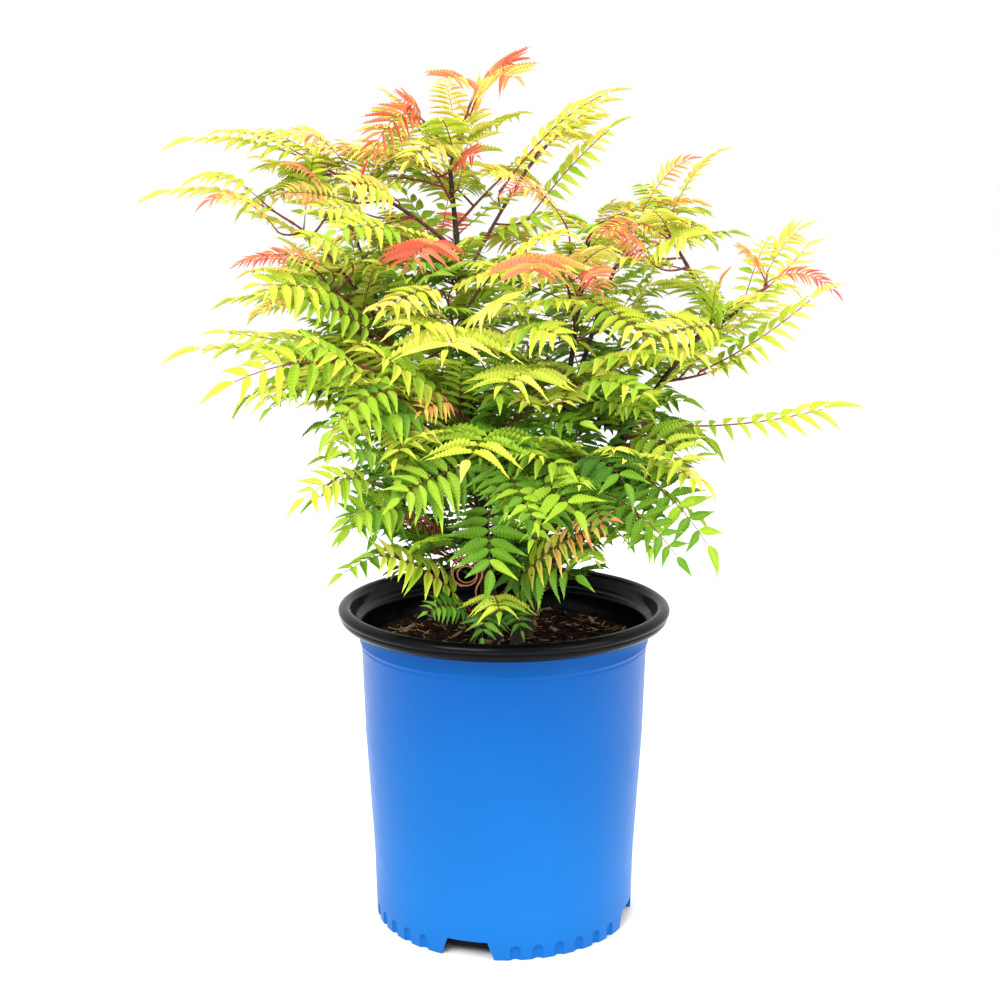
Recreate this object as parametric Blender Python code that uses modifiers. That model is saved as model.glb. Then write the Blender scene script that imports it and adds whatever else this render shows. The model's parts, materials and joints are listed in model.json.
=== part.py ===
"""Potted false spirea: a nursery pot of potting mix, five stems, their boughs, and masses of pinnate leaves.

Metres, +Z up. The origin is on the pot's axis at its flat underside. +X is to the right of the
plant's best side and -Y is its front.
"""
import math
import random

import bmesh
import bpy
from mathutils import Matrix, Vector, noise
from mathutils.bvhtree import BVHTree

COLLECTION_NAME = "potted_false_spirea"
UP = Vector((0, 0, 1))
CLEARANCE = 0.0003
SEED = 11

# Pot
POT_HEIGHT = 0.220
POT_RIM_RADIUS = 0.1125
POT_SHOULDER_RADIUS = 0.0980
POT_WAIST = (0.0950, 0.130)
POT_HEEL = (0.0899, 0.045)
POT_FOOT_RADIUS = 0.0888
POT_WALL = 0.002
POT_LIP_HEIGHT = 0.012
POT_STEP_HEIGHT = 0.193
POT_STEP_DEPTH = 0.0011
POT_FLOOR = 0.003
POT_SIDES = 32
SEAM_MERGE = 0.00005
SMOOTH_ANGLE = math.radians(35)
SHOULDER_ROUNDING = 0.0015
FOOT_ROUNDING = 0.001
FOOT_RING_WIDTH = 0.0022
FLOOR_DISC_RADIUS = 0.058
FLOOR_DISC_EDGE = 0.0025
CHANNEL_HEIGHT = 0.0055
CHANNEL_ROOF = 0.0025
CHANNEL_SLANT = 0.006

# The lip's section, in from the rim and up from the lip's foot, from its inner edge round to the wall
LIP_SECTION = (
    (0.0125, 0.0015),
    (0.0088, 0.0106),
    (0.0050, 0.0120),
    (0.0010, 0.0104),
    (0.0000, 0.0080),
    (0.0052, 0.0010),
    (0.0078, 0.0000),
)

# Drain notches and flutes at the foot
NOTCH_COUNT = 4
NOTCH_HEIGHT = 0.0125
NOTCH_FOOT_WIDTH = 0.0365
NOTCH_TOP_WIDTH = 0.0275
NOTCH_FIRST_ANGLE = math.radians(-106)
FLUTES_PER_QUARTER = 6
FLUTE_FIRST_ANGLE = math.radians(20.75)
FLUTE_STEP_ANGLE = math.radians(9.7)
FLUTE_HEIGHT = 0.011
FLUTE_RADIUS = 0.0042
FLUTE_DEPTH = 0.0011
FLUTE_SIDES = 8
CUTTER_DROP = 0.004
NOTCH_CUTTER_REACH = 0.0065

# Potting mix
SOIL_HEIGHT = 0.192
SOIL_RELIEF = 0.003
SOIL_FLAT_RADIUS = 0.044
SOIL_ROUGH_RADIUS = 0.068
SOIL_GRAIN = 60

# Stems and boughs
LENGTH_STEPS = 12
STEM_STEPS = 9
BOUGH_STEPS = 4
STEM_FOOT_HEIGHT = 0.004
FLARE_HEIGHT = 0.012
FLARE_RATIO = 1.5
FLARE_MIDDLE_RATIO = 1.2
LEAST_SINE = 0.25

# Twigs
NEAR_UPRIGHT = 0.05
TWIG_RADIUS = 0.00135
TWIG_TAPER = 0.2
TWIG_STEPS = 4
SHORTEST_TWIG_SHARE = 0.12

# Where side leaves stand on a twig, and how they lie
FIRST_LEAF_PLACE = 0.20
LEAF_PLACE_SPAN = 0.78
GOLDEN_ANGLE = math.radians(137.5)
SPIRAL_UNEVENNESS = 0.4
OPENING_AT_FOOT = 66
OPENING_LOSS = 26
OPENING_UNEVENNESS = 7
LEAF_LOWEST = -0.12
LEAF_STEEPEST = 0.45
LEAF_LENGTH_RANGE = (0.84, 1.04)
LEAF_CHORD = 0.94
LEAF_DROOP = 0.34
DROOP_RANGE = (0.6, 1.2)
LEAF_ROLL = 0.45
END_LEAF_SINK = 0.002
SIDE_LEAF_SINK = 0.0003
TURN_TRIES = 15
TURN_STEP = math.radians(27)
TRY_SHRINK = 0.02

# A leaf's blade: a bare petiole, then pairs of leaflets on a midrib and one at its end
PETIOLE_SHARE = 0.24
PETIOLE_HALF_WIDTH = 0.0012
BLADE_SPREAD = 0.34
BLADE_START = 0.16
BLADE_FULLNESS = 0.7
MIDRIB_RADIUS = 0.00085
MIDRIB_TAPER = 0.3
PAIR_SHARES = (0.31, 0.55, 0.78)
LEAFLET_ROOT = 0.030
LEAFLET_WIDTH = 0.38
LEAFLET_WIDEST = 0.40
LEAFLET_DROOP = 0.08
LEAFLET_TILT = 0.10
LEAFLET_OPENING = 64
LEAFLET_OPENING_LOSS = 24
END_LEAFLET_WIDTH = 0.46
OUTLINE_SHARE = 0.5
OUTLINE_STEPS = 8
OUTLINE_START = 0.08
CLEAR_SHARE = 0.12

# Crown
CROWN_DEPTH = 0.215

# How far the crown reaches to its left and right, by height, leaving out the tips that stand clear
CROWN_PROFILE = (
    (0.200, 0.105, 0.140),
    (0.250, 0.116, 0.156),
    (0.310, 0.132, 0.156),
    (0.340, 0.170, 0.160),
    (0.370, 0.205, 0.166),
    (0.405, 0.212, 0.212),
    (0.470, 0.205, 0.212),
    (0.482, 0.208, 0.200),
    (0.494, 0.214, 0.120),
    (0.530, 0.195, 0.135),
    (0.555, 0.120, 0.088),
    (0.568, 0.088, 0.042),
    (0.585, 0.050, 0.030),
)

# A stem: foot across and deep; tip across, deep and high; lift of its middle; foot and tip radius
STEMS = {
    "stem_leader": ((-0.006, 0.002), (-0.035, -0.005, 0.509), 0.000, 0.0034, 0.0014),
    "stem_middle": ((0.016, 0.010), (0.056, 0.020, 0.462), -0.010, 0.0030, 0.0013),
    "stem_right": ((0.008, -0.016), (0.135, -0.020, 0.412), 0.020, 0.0030, 0.0013),
    "stem_back": ((-0.012, 0.024), (-0.035, 0.085, 0.445), 0.018, 0.0028, 0.0013),
    "stem_back_right": ((0.010, 0.032), (0.078, 0.082, 0.440), 0.018, 0.0028, 0.0013),
}

# A bough: the limb it leaves, how far along; tip across, deep and high; lift; foot and tip radius
BOUGHS = {
    "bough_left": ("stem_leader", 0.40, (-0.087, 0.000, 0.416), -0.010, 0.0021, 0.0013),
    "bough_high_left": ("stem_leader", 0.83, (-0.098, -0.024, 0.500), 0.004, 0.0013, 0.0010),
    "bough_high_right": ("stem_leader", 0.76, (0.022, 0.022, 0.518), 0.003, 0.0012, 0.0010),
    "bough_upper_left": ("bough_left", 1.00, (-0.123, -0.020, 0.465), 0.002, 0.0012, 0.0010),
    "bough_rising_left": ("bough_left", 0.80, (-0.104, 0.030, 0.474), 0.004, 0.0012, 0.0010),
    "bough_right_high": ("stem_right", 1.00, (0.104, -0.014, 0.470), 0.002, 0.0012, 0.0010),
    "bough_right_outer": ("stem_right", 0.90, (0.160, -0.034, 0.430), -0.002, 0.0012, 0.0010),
    "bough_back_left": ("stem_back", 0.70, (-0.095, 0.090, 0.400), 0.006, 0.0012, 0.0010),
}

# A mass: the limb it leaves, how far along; the point it reaches; lift; leaves, leaf length, tint
MASSES = {
    "foliage_crown_top": ("stem_leader", 1.00, (0.013, -0.020, 0.586), 0.014, 5, 0.084, "coral"),
    "foliage_crown_left": ("stem_leader", 0.93, (-0.099, -0.045, 0.544), 0.016, 4, 0.080, "coral"),
    "foliage_high_left": ("bough_high_left", 1.00, (-0.195, -0.040, 0.526), 0.009, 5, 0.090, "yellow"),
    "foliage_high_right": ("bough_high_right", 1.00, (0.105, 0.030, 0.566), 0.005, 5, 0.092, "yellow"),
    "foliage_high_back": ("stem_leader", 0.88, (0.060, 0.085, 0.545), 0.008, 4, 0.092, "lime"),
    "foliage_upper_left": ("bough_upper_left", 1.00, (-0.220, -0.032, 0.496), 0.011, 5, 0.092, "yellow"),
    "foliage_rising_left": ("bough_rising_left", 1.00, (-0.162, 0.045, 0.515), 0.006, 4, 0.086, "orange"),
    "foliage_red_left": ("bough_left", 0.93, (-0.179, -0.064, 0.450), 0.014, 4, 0.086, "coral"),
    "foliage_mid_left": ("bough_left", 0.62, (-0.203, 0.045, 0.432), 0.008, 4, 0.100, "lime"),
    "foliage_low_left": ("bough_left", 0.45, (-0.215, -0.030, 0.396), 0.012, 4, 0.108, "lime"),
    "foliage_left_front": ("bough_left", 0.25, (-0.188, -0.085, 0.370), 0.006, 4, 0.108, "lime"),
    "foliage_lower_left": ("stem_leader", 0.32, (-0.148, -0.055, 0.294), 0.020, 4, 0.104, "green"),
    "foliage_lower_back_left": ("stem_leader", 0.27, (-0.152, 0.062, 0.330), 0.014, 4, 0.100, "green"),
    "foliage_skirt_left": ("stem_leader", 0.12, (-0.103, -0.084, 0.258), 0.018, 3, 0.084, "green"),
    "foliage_inner_left": ("stem_leader", 0.74, (-0.084, -0.055, 0.470), 0.012, 4, 0.088, "lime"),
    "foliage_front_upper": ("stem_leader", 0.62, (-0.045, -0.150, 0.404), 0.016, 5, 0.096, "lime"),
    "foliage_front_left": ("stem_leader", 0.48, (-0.100, -0.125, 0.345), 0.020, 4, 0.096, "lime"),
    "foliage_front_low": ("stem_leader", 0.36, (-0.014, -0.160, 0.326), 0.022, 5, 0.098, "green"),
    "foliage_middle_top": ("stem_middle", 1.00, (0.092, -0.010, 0.520), 0.004, 5, 0.088, "coral"),
    "foliage_middle_front": ("stem_middle", 0.80, (0.026, -0.115, 0.448), 0.018, 5, 0.092, "coral"),
    "foliage_middle_right": ("stem_middle", 0.60, (0.120, -0.080, 0.395), 0.016, 4, 0.096, "lime"),
    "foliage_right_high": ("bough_right_high", 1.00, (0.136, -0.006, 0.518), 0.007, 4, 0.076, "orange"),
    "foliage_right_red": ("bough_right_outer", 1.00, (0.221, -0.036, 0.428), 0.010, 4, 0.076, "coral"),
    "foliage_right_yellow": ("stem_right", 0.82, (0.213, 0.040, 0.480), -0.006, 4, 0.094, "yellow"),
    "foliage_right_side": ("stem_right", 0.74, (0.206, -0.078, 0.431), -0.010, 4, 0.100, "lime"),
    "foliage_right_arm": ("stem_right", 0.60, (0.227, -0.040, 0.360), -0.006, 3, 0.112, "lime"),
    "foliage_lower_right": ("stem_right", 0.42, (0.148, -0.092, 0.312), 0.014, 4, 0.098, "green"),
    "foliage_front_right": ("stem_right", 0.30, (0.062, -0.150, 0.345), 0.018, 4, 0.094, "green"),
    "foliage_skirt_right": ("stem_middle", 0.30, (0.150, -0.040, 0.262), 0.026, 4, 0.104, "green"),
    "foliage_skirt_front": ("stem_right", 0.12, (0.074, -0.138, 0.272), 0.022, 3, 0.090, "green"),
    "foliage_back_top": ("stem_back", 1.00, (-0.040, 0.175, 0.498), 0.012, 5, 0.092, "yellow"),
    "foliage_back_left": ("bough_back_left", 1.00, (-0.168, 0.132, 0.428), 0.012, 5, 0.092, "lime"),
    "foliage_back_right": ("stem_back_right", 1.00, (0.146, 0.146, 0.462), 0.012, 5, 0.092, "yellow"),
    "foliage_back_middle": ("stem_back_right", 0.70, (0.050, 0.190, 0.410), 0.014, 4, 0.100, "lime"),
    "foliage_back_low_left": ("stem_back", 0.45, (-0.128, 0.142, 0.304), 0.022, 4, 0.104, "green"),
    "foliage_back_low_right": ("stem_back_right", 0.42, (0.150, 0.112, 0.312), 0.022, 4, 0.104, "green"),
    "foliage_back_low": ("stem_back", 0.25, (0.010, 0.172, 0.280), 0.024, 4, 0.100, "green"),
    "foliage_soil_sprig": ("stem_leader", 0.05, (-0.004, -0.078, 0.216), 0.012, 1, 0.056, "lime"),
}

TINTS = {
    "coral": (0.80, 0.16, 0.07, 1),
    "orange": (0.90, 0.36, 0.06, 1),
    "yellow": (0.85, 0.72, 0.05, 1),
    "lime": (0.52, 0.68, 0.03, 1),
    "green": (0.14, 0.40, 0.03, 1),
}
BARK = (0.09, 0.025, 0.018, 1)
YOUNG_BARK = (0.22, 0.035, 0.022, 1)
POT_BLUE = (0.010, 0.190, 0.740, 1)
SOIL_BROWN = (0.030, 0.014, 0.008, 1)
POT_ROUGHNESS = 0.35
SOIL_ROUGHNESS = 0.95
BARK_ROUGHNESS = 0.7
LEAF_ROUGHNESS = 0.5


# Scene and mesh helpers
def clear_scene():
    for obj in list(bpy.data.objects):
        bpy.data.objects.remove(obj, do_unlink=True)


def new_collection(name):
    collection = bpy.data.collections.new(name)
    bpy.context.scene.collection.children.link(collection)
    return collection


def principled(name, colour, roughness):
    material = bpy.data.materials.new(name)
    material.use_nodes = True
    shader = material.node_tree.nodes["Principled BSDF"]
    shader.inputs["Base Color"].default_value = colour
    shader.inputs["Roughness"].default_value = roughness
    shader.inputs["Metallic"].default_value = 0.0
    return material


def add_mesh(bm, name, collection):
    """An object whose mesh takes over this bmesh."""
    mesh = bpy.data.meshes.new(name)
    bm.to_mesh(mesh)
    bm.free()
    obj = bpy.data.objects.new(name, mesh)
    collection.objects.link(obj)
    return obj


def applied_mesh(obj):
    """A mesh of the object as its modifiers leave it."""
    bpy.context.view_layer.update()
    graph = bpy.context.evaluated_depsgraph_get()
    return bpy.data.meshes.new_from_object(obj.evaluated_get(graph))


def tree_of(mesh):
    corners = [vertex.co for vertex in mesh.vertices]
    return BVHTree.FromPolygons(corners, [polygon.vertices[:] for polygon in mesh.polygons])


def turned(name, profile, collection):
    """A solid of revolution whose profile runs down its outer side."""
    bm = bmesh.new()
    corners = [bm.verts.new((radius, 0, height)) for radius, height in profile]
    for upper, lower in zip(corners, corners[1:]):
        bm.edges.new((upper, lower))
    obj = add_mesh(bm, name, collection)
    screw = obj.modifiers.new("turn", "SCREW")
    screw.steps = POT_SIDES
    screw.render_steps = POT_SIDES
    screw.use_merge_vertices = True
    screw.merge_threshold = SEAM_MERGE
    mesh = applied_mesh(obj)
    mesh.name = name
    obj.modifiers.clear()
    obj.data = mesh
    return obj


# Pot
def pot_inner_profile():
    """The pot's hollow, from the middle of its floor out and up to the ledge under the lip."""
    channel_top = CHANNEL_HEIGHT + CHANNEL_ROOF
    foot_inner = POT_FOOT_RADIUS - POT_WALL
    ledge = POT_HEIGHT - POT_LIP_HEIGHT - POT_WALL / 2
    return [
        (0, POT_FLOOR),
        (FLOOR_DISC_RADIUS, POT_FLOOR),
        (FLOOR_DISC_RADIUS + CHANNEL_SLANT, channel_top),
        (foot_inner - CHANNEL_SLANT / 2, channel_top),
        (foot_inner, channel_top + CHANNEL_SLANT / 2),
        (POT_HEEL[0] - POT_WALL, POT_HEEL[1]),
        (POT_WAIST[0] - POT_WALL, POT_WAIST[1]),
        (POT_SHOULDER_RADIUS - POT_WALL, ledge),
    ]


def pot_outer_profile():
    """The lip, the wall and the underside, from the lip's inner edge down to the middle of the floor."""
    lip_foot = POT_HEIGHT - POT_LIP_HEIGHT
    lip = [(POT_RIM_RADIUS - inward, lip_foot + up) for inward, up in LIP_SECTION]
    shoulder = POT_SHOULDER_RADIUS
    ring_outer = POT_FOOT_RADIUS - FOOT_ROUNDING
    ring_inner = ring_outer - FOOT_RING_WIDTH
    channel_inner = FLOOR_DISC_RADIUS + FLOOR_DISC_EDGE
    wall = [
        (shoulder + SHOULDER_ROUNDING / 2, lip_foot + SHOULDER_ROUNDING / 8),
        (shoulder, lip_foot - SHOULDER_ROUNDING),
        (shoulder, POT_STEP_HEIGHT + POT_STEP_DEPTH),
        (shoulder - POT_STEP_DEPTH, POT_STEP_HEIGHT - POT_STEP_DEPTH / 2),
        POT_WAIST,
        POT_HEEL,
        (POT_FOOT_RADIUS, FOOT_ROUNDING),
    ]
    underside = [
        (ring_outer, 0),
        (ring_inner, 0),
        (ring_inner - FOOT_ROUNDING, CHANNEL_HEIGHT),
        (channel_inner + CHANNEL_SLANT, CHANNEL_HEIGHT),
        (channel_inner, 0),
        (0, 0),
    ]
    return lip + wall + underside


def add_notch_cutter(name, angle, collection):
    """A block with slanting sides that opens a drain notch across the foot of the wall."""
    slant = (NOTCH_FOOT_WIDTH - NOTCH_TOP_WIDTH) / 2 / NOTCH_HEIGHT
    foot_half = NOTCH_FOOT_WIDTH / 2 + slant * CUTTER_DROP
    bm = bmesh.new()
    bmesh.ops.create_cube(bm, size=1)
    for corner in bm.verts:
        top = corner.co.z > 0
        half = NOTCH_TOP_WIDTH / 2 if top else foot_half
        corner.co.x = POT_FOOT_RADIUS + math.copysign(NOTCH_CUTTER_REACH, corner.co.x)
        corner.co.y = math.copysign(half, corner.co.y)
        corner.co.z = NOTCH_HEIGHT if top else -CUTTER_DROP
    bm.transform(Matrix.Rotation(angle, 4, "Z"))
    add_mesh(bm, name, collection)


def add_flute_cutter(name, angle, collection):
    """A tapering peg that leaves a shallow arched flute in the foot of the wall."""
    offset = FLUTE_RADIUS - FLUTE_DEPTH
    middle = (FLUTE_HEIGHT - CUTTER_DROP) / 2
    bm = bmesh.new()
    bmesh.ops.create_cone(
        bm,
        cap_ends=True,
        segments=FLUTE_SIDES,
        radius1=FLUTE_RADIUS,
        radius2=offset + FLUTE_DEPTH / 3,
        depth=FLUTE_HEIGHT + CUTTER_DROP,
        matrix=Matrix.Translation((POT_FOOT_RADIUS + offset, 0, middle)),
    )
    bm.transform(Matrix.Rotation(angle, 4, "Z"))
    add_mesh(bm, name, collection)


def build_pot(parts, cutters):
    pot = turned("pot", pot_inner_profile() + pot_outer_profile(), parts)
    for quarter in range(NOTCH_COUNT):
        notch_angle = NOTCH_FIRST_ANGLE + quarter * math.tau / NOTCH_COUNT
        add_notch_cutter(f"cutter_notch_{quarter + 1}", notch_angle, cutters)
        for index in range(FLUTES_PER_QUARTER):
            angle = notch_angle + FLUTE_FIRST_ANGLE + index * FLUTE_STEP_ANGLE
            add_flute_cutter(f"cutter_flute_{quarter + 1}_{index + 1}", angle, cutters)
    for cutter in cutters.objects:
        cutter.hide_render = True
        cutter.display_type = "WIRE"
    cut = pot.modifiers.new("notches_and_flutes", "BOOLEAN")
    cut.operation = "DIFFERENCE"
    cut.operand_type = "COLLECTION"
    cut.collection = cutters
    cut.solver = "EXACT"
    pot.data.materials.append(principled("pot_blue_polypropylene", POT_BLUE, POT_ROUGHNESS))
    pot.data.shade_smooth()
    pot.data.set_sharp_from_angle(angle=SMOOTH_ANGLE)
    return applied_mesh(pot)


def build_soil(parts):
    """The potting mix fills the pot to a rough top that is flat where the stems stand."""
    top = SOIL_HEIGHT
    hollow = pot_inner_profile()
    slope = (hollow[-1][0] - hollow[-2][0]) / (hollow[-1][1] - hollow[-2][1])
    wall = hollow[-2][0] + (top - hollow[-2][1]) * slope - CLEARANCE
    filled = [(radius - CLEARANCE, height + CLEARANCE) for radius, height in hollow[3:-1]]
    surface = [(0, top), (SOIL_FLAT_RADIUS, top), (SOIL_ROUGH_RADIUS, top), (wall, top)]
    profile = surface + filled[::-1] + [(0, filled[0][1])]
    soil = turned("potting_mix", profile, parts)
    for vertex in soil.data.vertices:
        reach = math.hypot(vertex.co.x, vertex.co.y)
        if vertex.co.z > top - CLEARANCE and reach > SOIL_FLAT_RADIUS + CLEARANCE:
            vertex.co.z += noise.noise(vertex.co * SOIL_GRAIN) * SOIL_RELIEF
    soil.data.materials.append(principled("soil_bark_mulch", SOIL_BROWN, SOIL_ROUGHNESS))
    return tree_of(soil.data)


# Limbs
class Bend:
    """A smooth bend from start to end whose middle is lifted."""

    def __init__(self, start, end, lift):
        self.start = Vector(start)
        self.end = Vector(end)
        self.control = (self.start + self.end) / 2 + UP * 2 * lift

    def point(self, share):
        rest = 1 - share
        return self.start * rest**2 + self.control * (2 * rest * share) + self.end * share**2

    def heading(self, share):
        rest = 1 - share
        along = (self.control - self.start) * rest + (self.end - self.control) * share
        return along.normalized()

    def length(self):
        points = [self.point(step / LENGTH_STEPS) for step in range(LENGTH_STEPS + 1)]
        return sum((after - before).length for before, after in zip(points, points[1:]))


class Limb:
    """A tapering stem or bough."""

    def __init__(self, bend, foot_radius, tip_radius):
        self.bend = bend
        self.foot_radius = foot_radius
        self.tip_radius = tip_radius

    def radius(self, share):
        return self.foot_radius + (self.tip_radius - self.foot_radius) * share


def leaving_point(limb, along, target, own_radius):
    """Where a branch of this radius starts, clear of the limb that carries it."""
    centre = limb.bend.point(along)
    axis = limb.bend.heading(along)
    outward = (target - centre).normalized()
    cosine = outward.dot(axis)
    sine = max(math.sqrt(max(1 - cosine**2, 0)), LEAST_SINE)
    if along == 1:
        return centre + axis * (CLEARANCE + own_radius * sine)
    return centre + outward * (limb.radius(along) + CLEARANCE + own_radius * abs(cosine)) / sine


def add_limb(name, points, radii, colour, collection):
    curve = bpy.data.curves.new(name, "CURVE")
    curve.dimensions = "3D"
    curve.bevel_depth = 1
    curve.bevel_resolution = 1
    curve.use_fill_caps = True
    line = curve.splines.new("POLY")
    line.points.add(len(points) - 1)
    for point, place, radius in zip(line.points, points, radii):
        point.co = (*place, 1)
        point.radius = radius
    curve.materials.append(principled(f"{name}_bark", colour, BARK_ROUGHNESS))
    obj = bpy.data.objects.new(name, curve)
    collection.objects.link(obj)
    return tree_of(applied_mesh(obj))


def grow_stems(limbs, standing, parts):
    """Each stem rises from a flat cut on the potting mix with a short flare at its foot."""
    for name, (foot, tip, lift, foot_radius, tip_radius) in STEMS.items():
        ground = Vector((*foot, SOIL_HEIGHT + CLEARANCE))
        limb = Limb(Bend(ground + UP * STEM_FOOT_HEIGHT, tip, lift), foot_radius, tip_radius)
        shares = [step / STEM_STEPS for step in range(STEM_STEPS + 1)]
        points = [ground] + [limb.bend.point(share) for share in shares]
        points.insert(2, limb.bend.point(FLARE_HEIGHT / limb.bend.length()))
        radii = [foot_radius * FLARE_RATIO, foot_radius * FLARE_MIDDLE_RATIO, foot_radius]
        radii += [limb.radius(share) for share in shares[1:]]
        limbs[name] = limb
        standing.append(add_limb(name, points, radii, BARK, parts))


def grow_boughs(limbs, standing, parts):
    for name, (parent, along, tip, lift, foot_radius, tip_radius) in BOUGHS.items():
        start = leaving_point(limbs[parent], along, Vector(tip), foot_radius)
        limb = Limb(Bend(start, tip, lift), foot_radius, tip_radius)
        shares = [step / BOUGH_STEPS for step in range(BOUGH_STEPS + 1)]
        points = [limb.bend.point(share) for share in shares]
        radii = [limb.radius(share) for share in shares]
        limbs[name] = limb
        standing.append(add_limb(name, points, radii, YOUNG_BARK, parts))


# Growth rule of the foliage
class Leaf:
    """A pinnate leaf: its midrib's bend, how its blade rolls about it, and how deep its foot sinks in."""

    def __init__(self, bend, roll, sink):
        self.bend = bend
        self.roll = roll
        self.sink = sink
        self.length = bend.length()

    def frame(self, share):
        """Heading, side and face of the blade."""
        heading = self.bend.heading(share)
        side, face = level_frame(heading)
        turn = Matrix.Rotation(self.roll, 3, heading)
        return heading, turn @ side, turn @ face

    def half_width(self, share):
        """Half the blade's width: little on the petiole, widest a third of the way up."""
        if share < PETIOLE_SHARE:
            return PETIOLE_HALF_WIDTH
        blade = BLADE_START + (1 - BLADE_START) * (share - PETIOLE_SHARE) / (1 - PETIOLE_SHARE)
        swell = max(math.sin(math.pi * blade), 0) ** BLADE_FULLNESS
        return self.length * BLADE_SPREAD * swell + MIDRIB_RADIUS

    def outline_tree(self):
        """The blade's outline as a ribbon, for telling whether two leaves would cross."""
        corners = []
        faces = []
        for step in range(OUTLINE_STEPS + 1):
            share = OUTLINE_START + (1 - OUTLINE_START) * step / OUTLINE_STEPS
            side = self.frame(share)[1] * self.half_width(share) * OUTLINE_SHARE
            centre = self.bend.point(share)
            corners += [centre - side, centre, centre + side]
            if step:
                last = len(corners) - 6
                faces.append((last, last + 1, last + 4, last + 3))
                faces.append((last + 1, last + 2, last + 5, last + 4))
        return BVHTree.FromPolygons(corners, faces)


class Shoot:
    """A twig that carries the leaves of one mass, and goes on as its end leaf to the point it reaches."""

    def __init__(self, start, end, lift, leaf_length):
        whole = Bend(start, end, lift)
        share = max(1 - leaf_length / whole.length(), SHORTEST_TWIG_SHARE)
        tip = whole.point(share)
        self.twig = Bend(start, tip, 0)
        self.twig.control = whole.start.lerp(whole.control, share)
        end_bend = Bend(tip, end, 0)
        end_bend.control = whole.control.lerp(whole.end, share)
        self.end_leaf = Leaf(end_bend, 0, END_LEAF_SINK)

    def solid(self):
        """The twig alone, three-sided and tapering."""
        rings = []
        for step in range(TWIG_STEPS + 1):
            share = step / TWIG_STEPS
            side, face = level_frame(self.twig.heading(share))
            radius = TWIG_RADIUS * (1 - TWIG_TAPER * share)
            rings.append(ring(self.twig.point(share), side, face, radius))
        bm = bmesh.new()
        loops = add_loops(bm, rings)
        for before, after in zip(loops, loops[1:]):
            add_band(bm, before, after)
        bm.faces.new(loops[0])
        bm.faces.new(loops[-1])
        bmesh.ops.recalc_face_normals(bm, faces=bm.faces)
        return bm


def side_leaf(shoot, index, count, leaf_length, turn, draw):
    """One leaf on the shoot's spiral, set off from the twig and arching over to its tip."""
    place = FIRST_LEAF_PLACE + LEAF_PLACE_SPAN * (index + 1) / count
    centre = shoot.twig.point(place)
    axis = shoot.twig.heading(place)
    around = GOLDEN_ANGLE * index + draw.uniform(-1, 1) * SPIRAL_UNEVENNESS + turn
    across = Matrix.Rotation(around, 3, axis) @ level_frame(axis)[0]
    degrees = OPENING_AT_FOOT - OPENING_LOSS * place + draw.uniform(-1, 1) * OPENING_UNEVENNESS
    opening = math.radians(degrees)
    outward = axis * math.cos(opening) + across * math.sin(opening)
    outward.z = min(max(outward.z, LEAF_LOWEST), LEAF_STEEPEST)
    outward.normalize()
    length = leaf_length * draw.uniform(*LEAF_LENGTH_RANGE)
    droop = length * LEAF_DROOP * draw.uniform(*DROOP_RANGE)
    bend = Bend(centre, centre + outward * length * LEAF_CHORD - UP * droop, 0)
    bend.control = centre + outward * length / 2
    return Leaf(bend, draw.uniform(-1, 1) * LEAF_ROLL, SIDE_LEAF_SINK)


def crown_reach(point):
    """The crown's half width at this height, on this point's side of the axis."""
    for lower, upper in zip(CROWN_PROFILE, CROWN_PROFILE[1:]):
        if lower[0] <= point.z < upper[0]:
            share = (point.z - lower[0]) / (upper[0] - lower[0])
            hand = 1 if point.x < 0 else 2
            return lower[hand] + (upper[hand] - lower[hand]) * share
    return 0


def inside_crown(leaf):
    for step in range(7):
        point = leaf.bend.point(step / 6)
        reach = crown_reach(point)
        if reach == 0 or math.hypot(point.x / reach, point.y / CROWN_DEPTH) > 1:
            return False
    return True


def grow_leaves(shoots, standing):
    """The leaves of every shoot. Each is turned about its twig until it crosses nothing, or is left out."""
    blades = []
    leaves = {}
    for name, shoot in shoots.items():
        leaves[name] = [shoot.end_leaf]
        blades.append(shoot.end_leaf.outline_tree())
    for order, name in enumerate(shoots):
        count = MASSES[name][4] - 1
        for index in reversed(range(count)):
            for attempt in range(TURN_TRIES):
                draw = random.Random(SEED + 1000 * order + 20 * index)
                turn = TURN_STEP * ((attempt + 1) // 2) * (-1) ** attempt
                length = MASSES[name][5] * (1 - TRY_SHRINK * attempt)
                leaf = side_leaf(shoots[name], index, count, length, turn, draw)
                if not inside_crown(leaf):
                    continue
                outline = leaf.outline_tree()
                if any(outline.overlap(other) for other in standing + blades):
                    continue
                leaves[name].append(leaf)
                blades.append(outline)
                break
    return leaves


# Solids of the foliage
def level_frame(heading):
    """A side that lies level and a face that looks up, square to this heading."""
    side = heading.cross(UP)
    if side.length < NEAR_UPRIGHT:
        side = heading.cross(Vector((1, 0, 0)))
    side.normalize()
    return side, side.cross(heading)


def ring(centre, side, face, radius):
    """Three corners of a twig or midrib: its ridge, then its left and right lower edges."""
    low = centre - face * radius * math.cos(math.tau / 6)
    half = side * radius * math.sin(math.tau / 6)
    return [centre + face * radius, low - half, low + half]


def add_loops(bm, rings):
    return [[bm.verts.new(corner) for corner in corners] for corners in rings]


def add_band(bm, before, after, sides=(0, 1, 2)):
    for corner in sides:
        following = (corner + 1) % 3
        bm.faces.new((before[corner], before[following], after[following], after[corner]))


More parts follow.
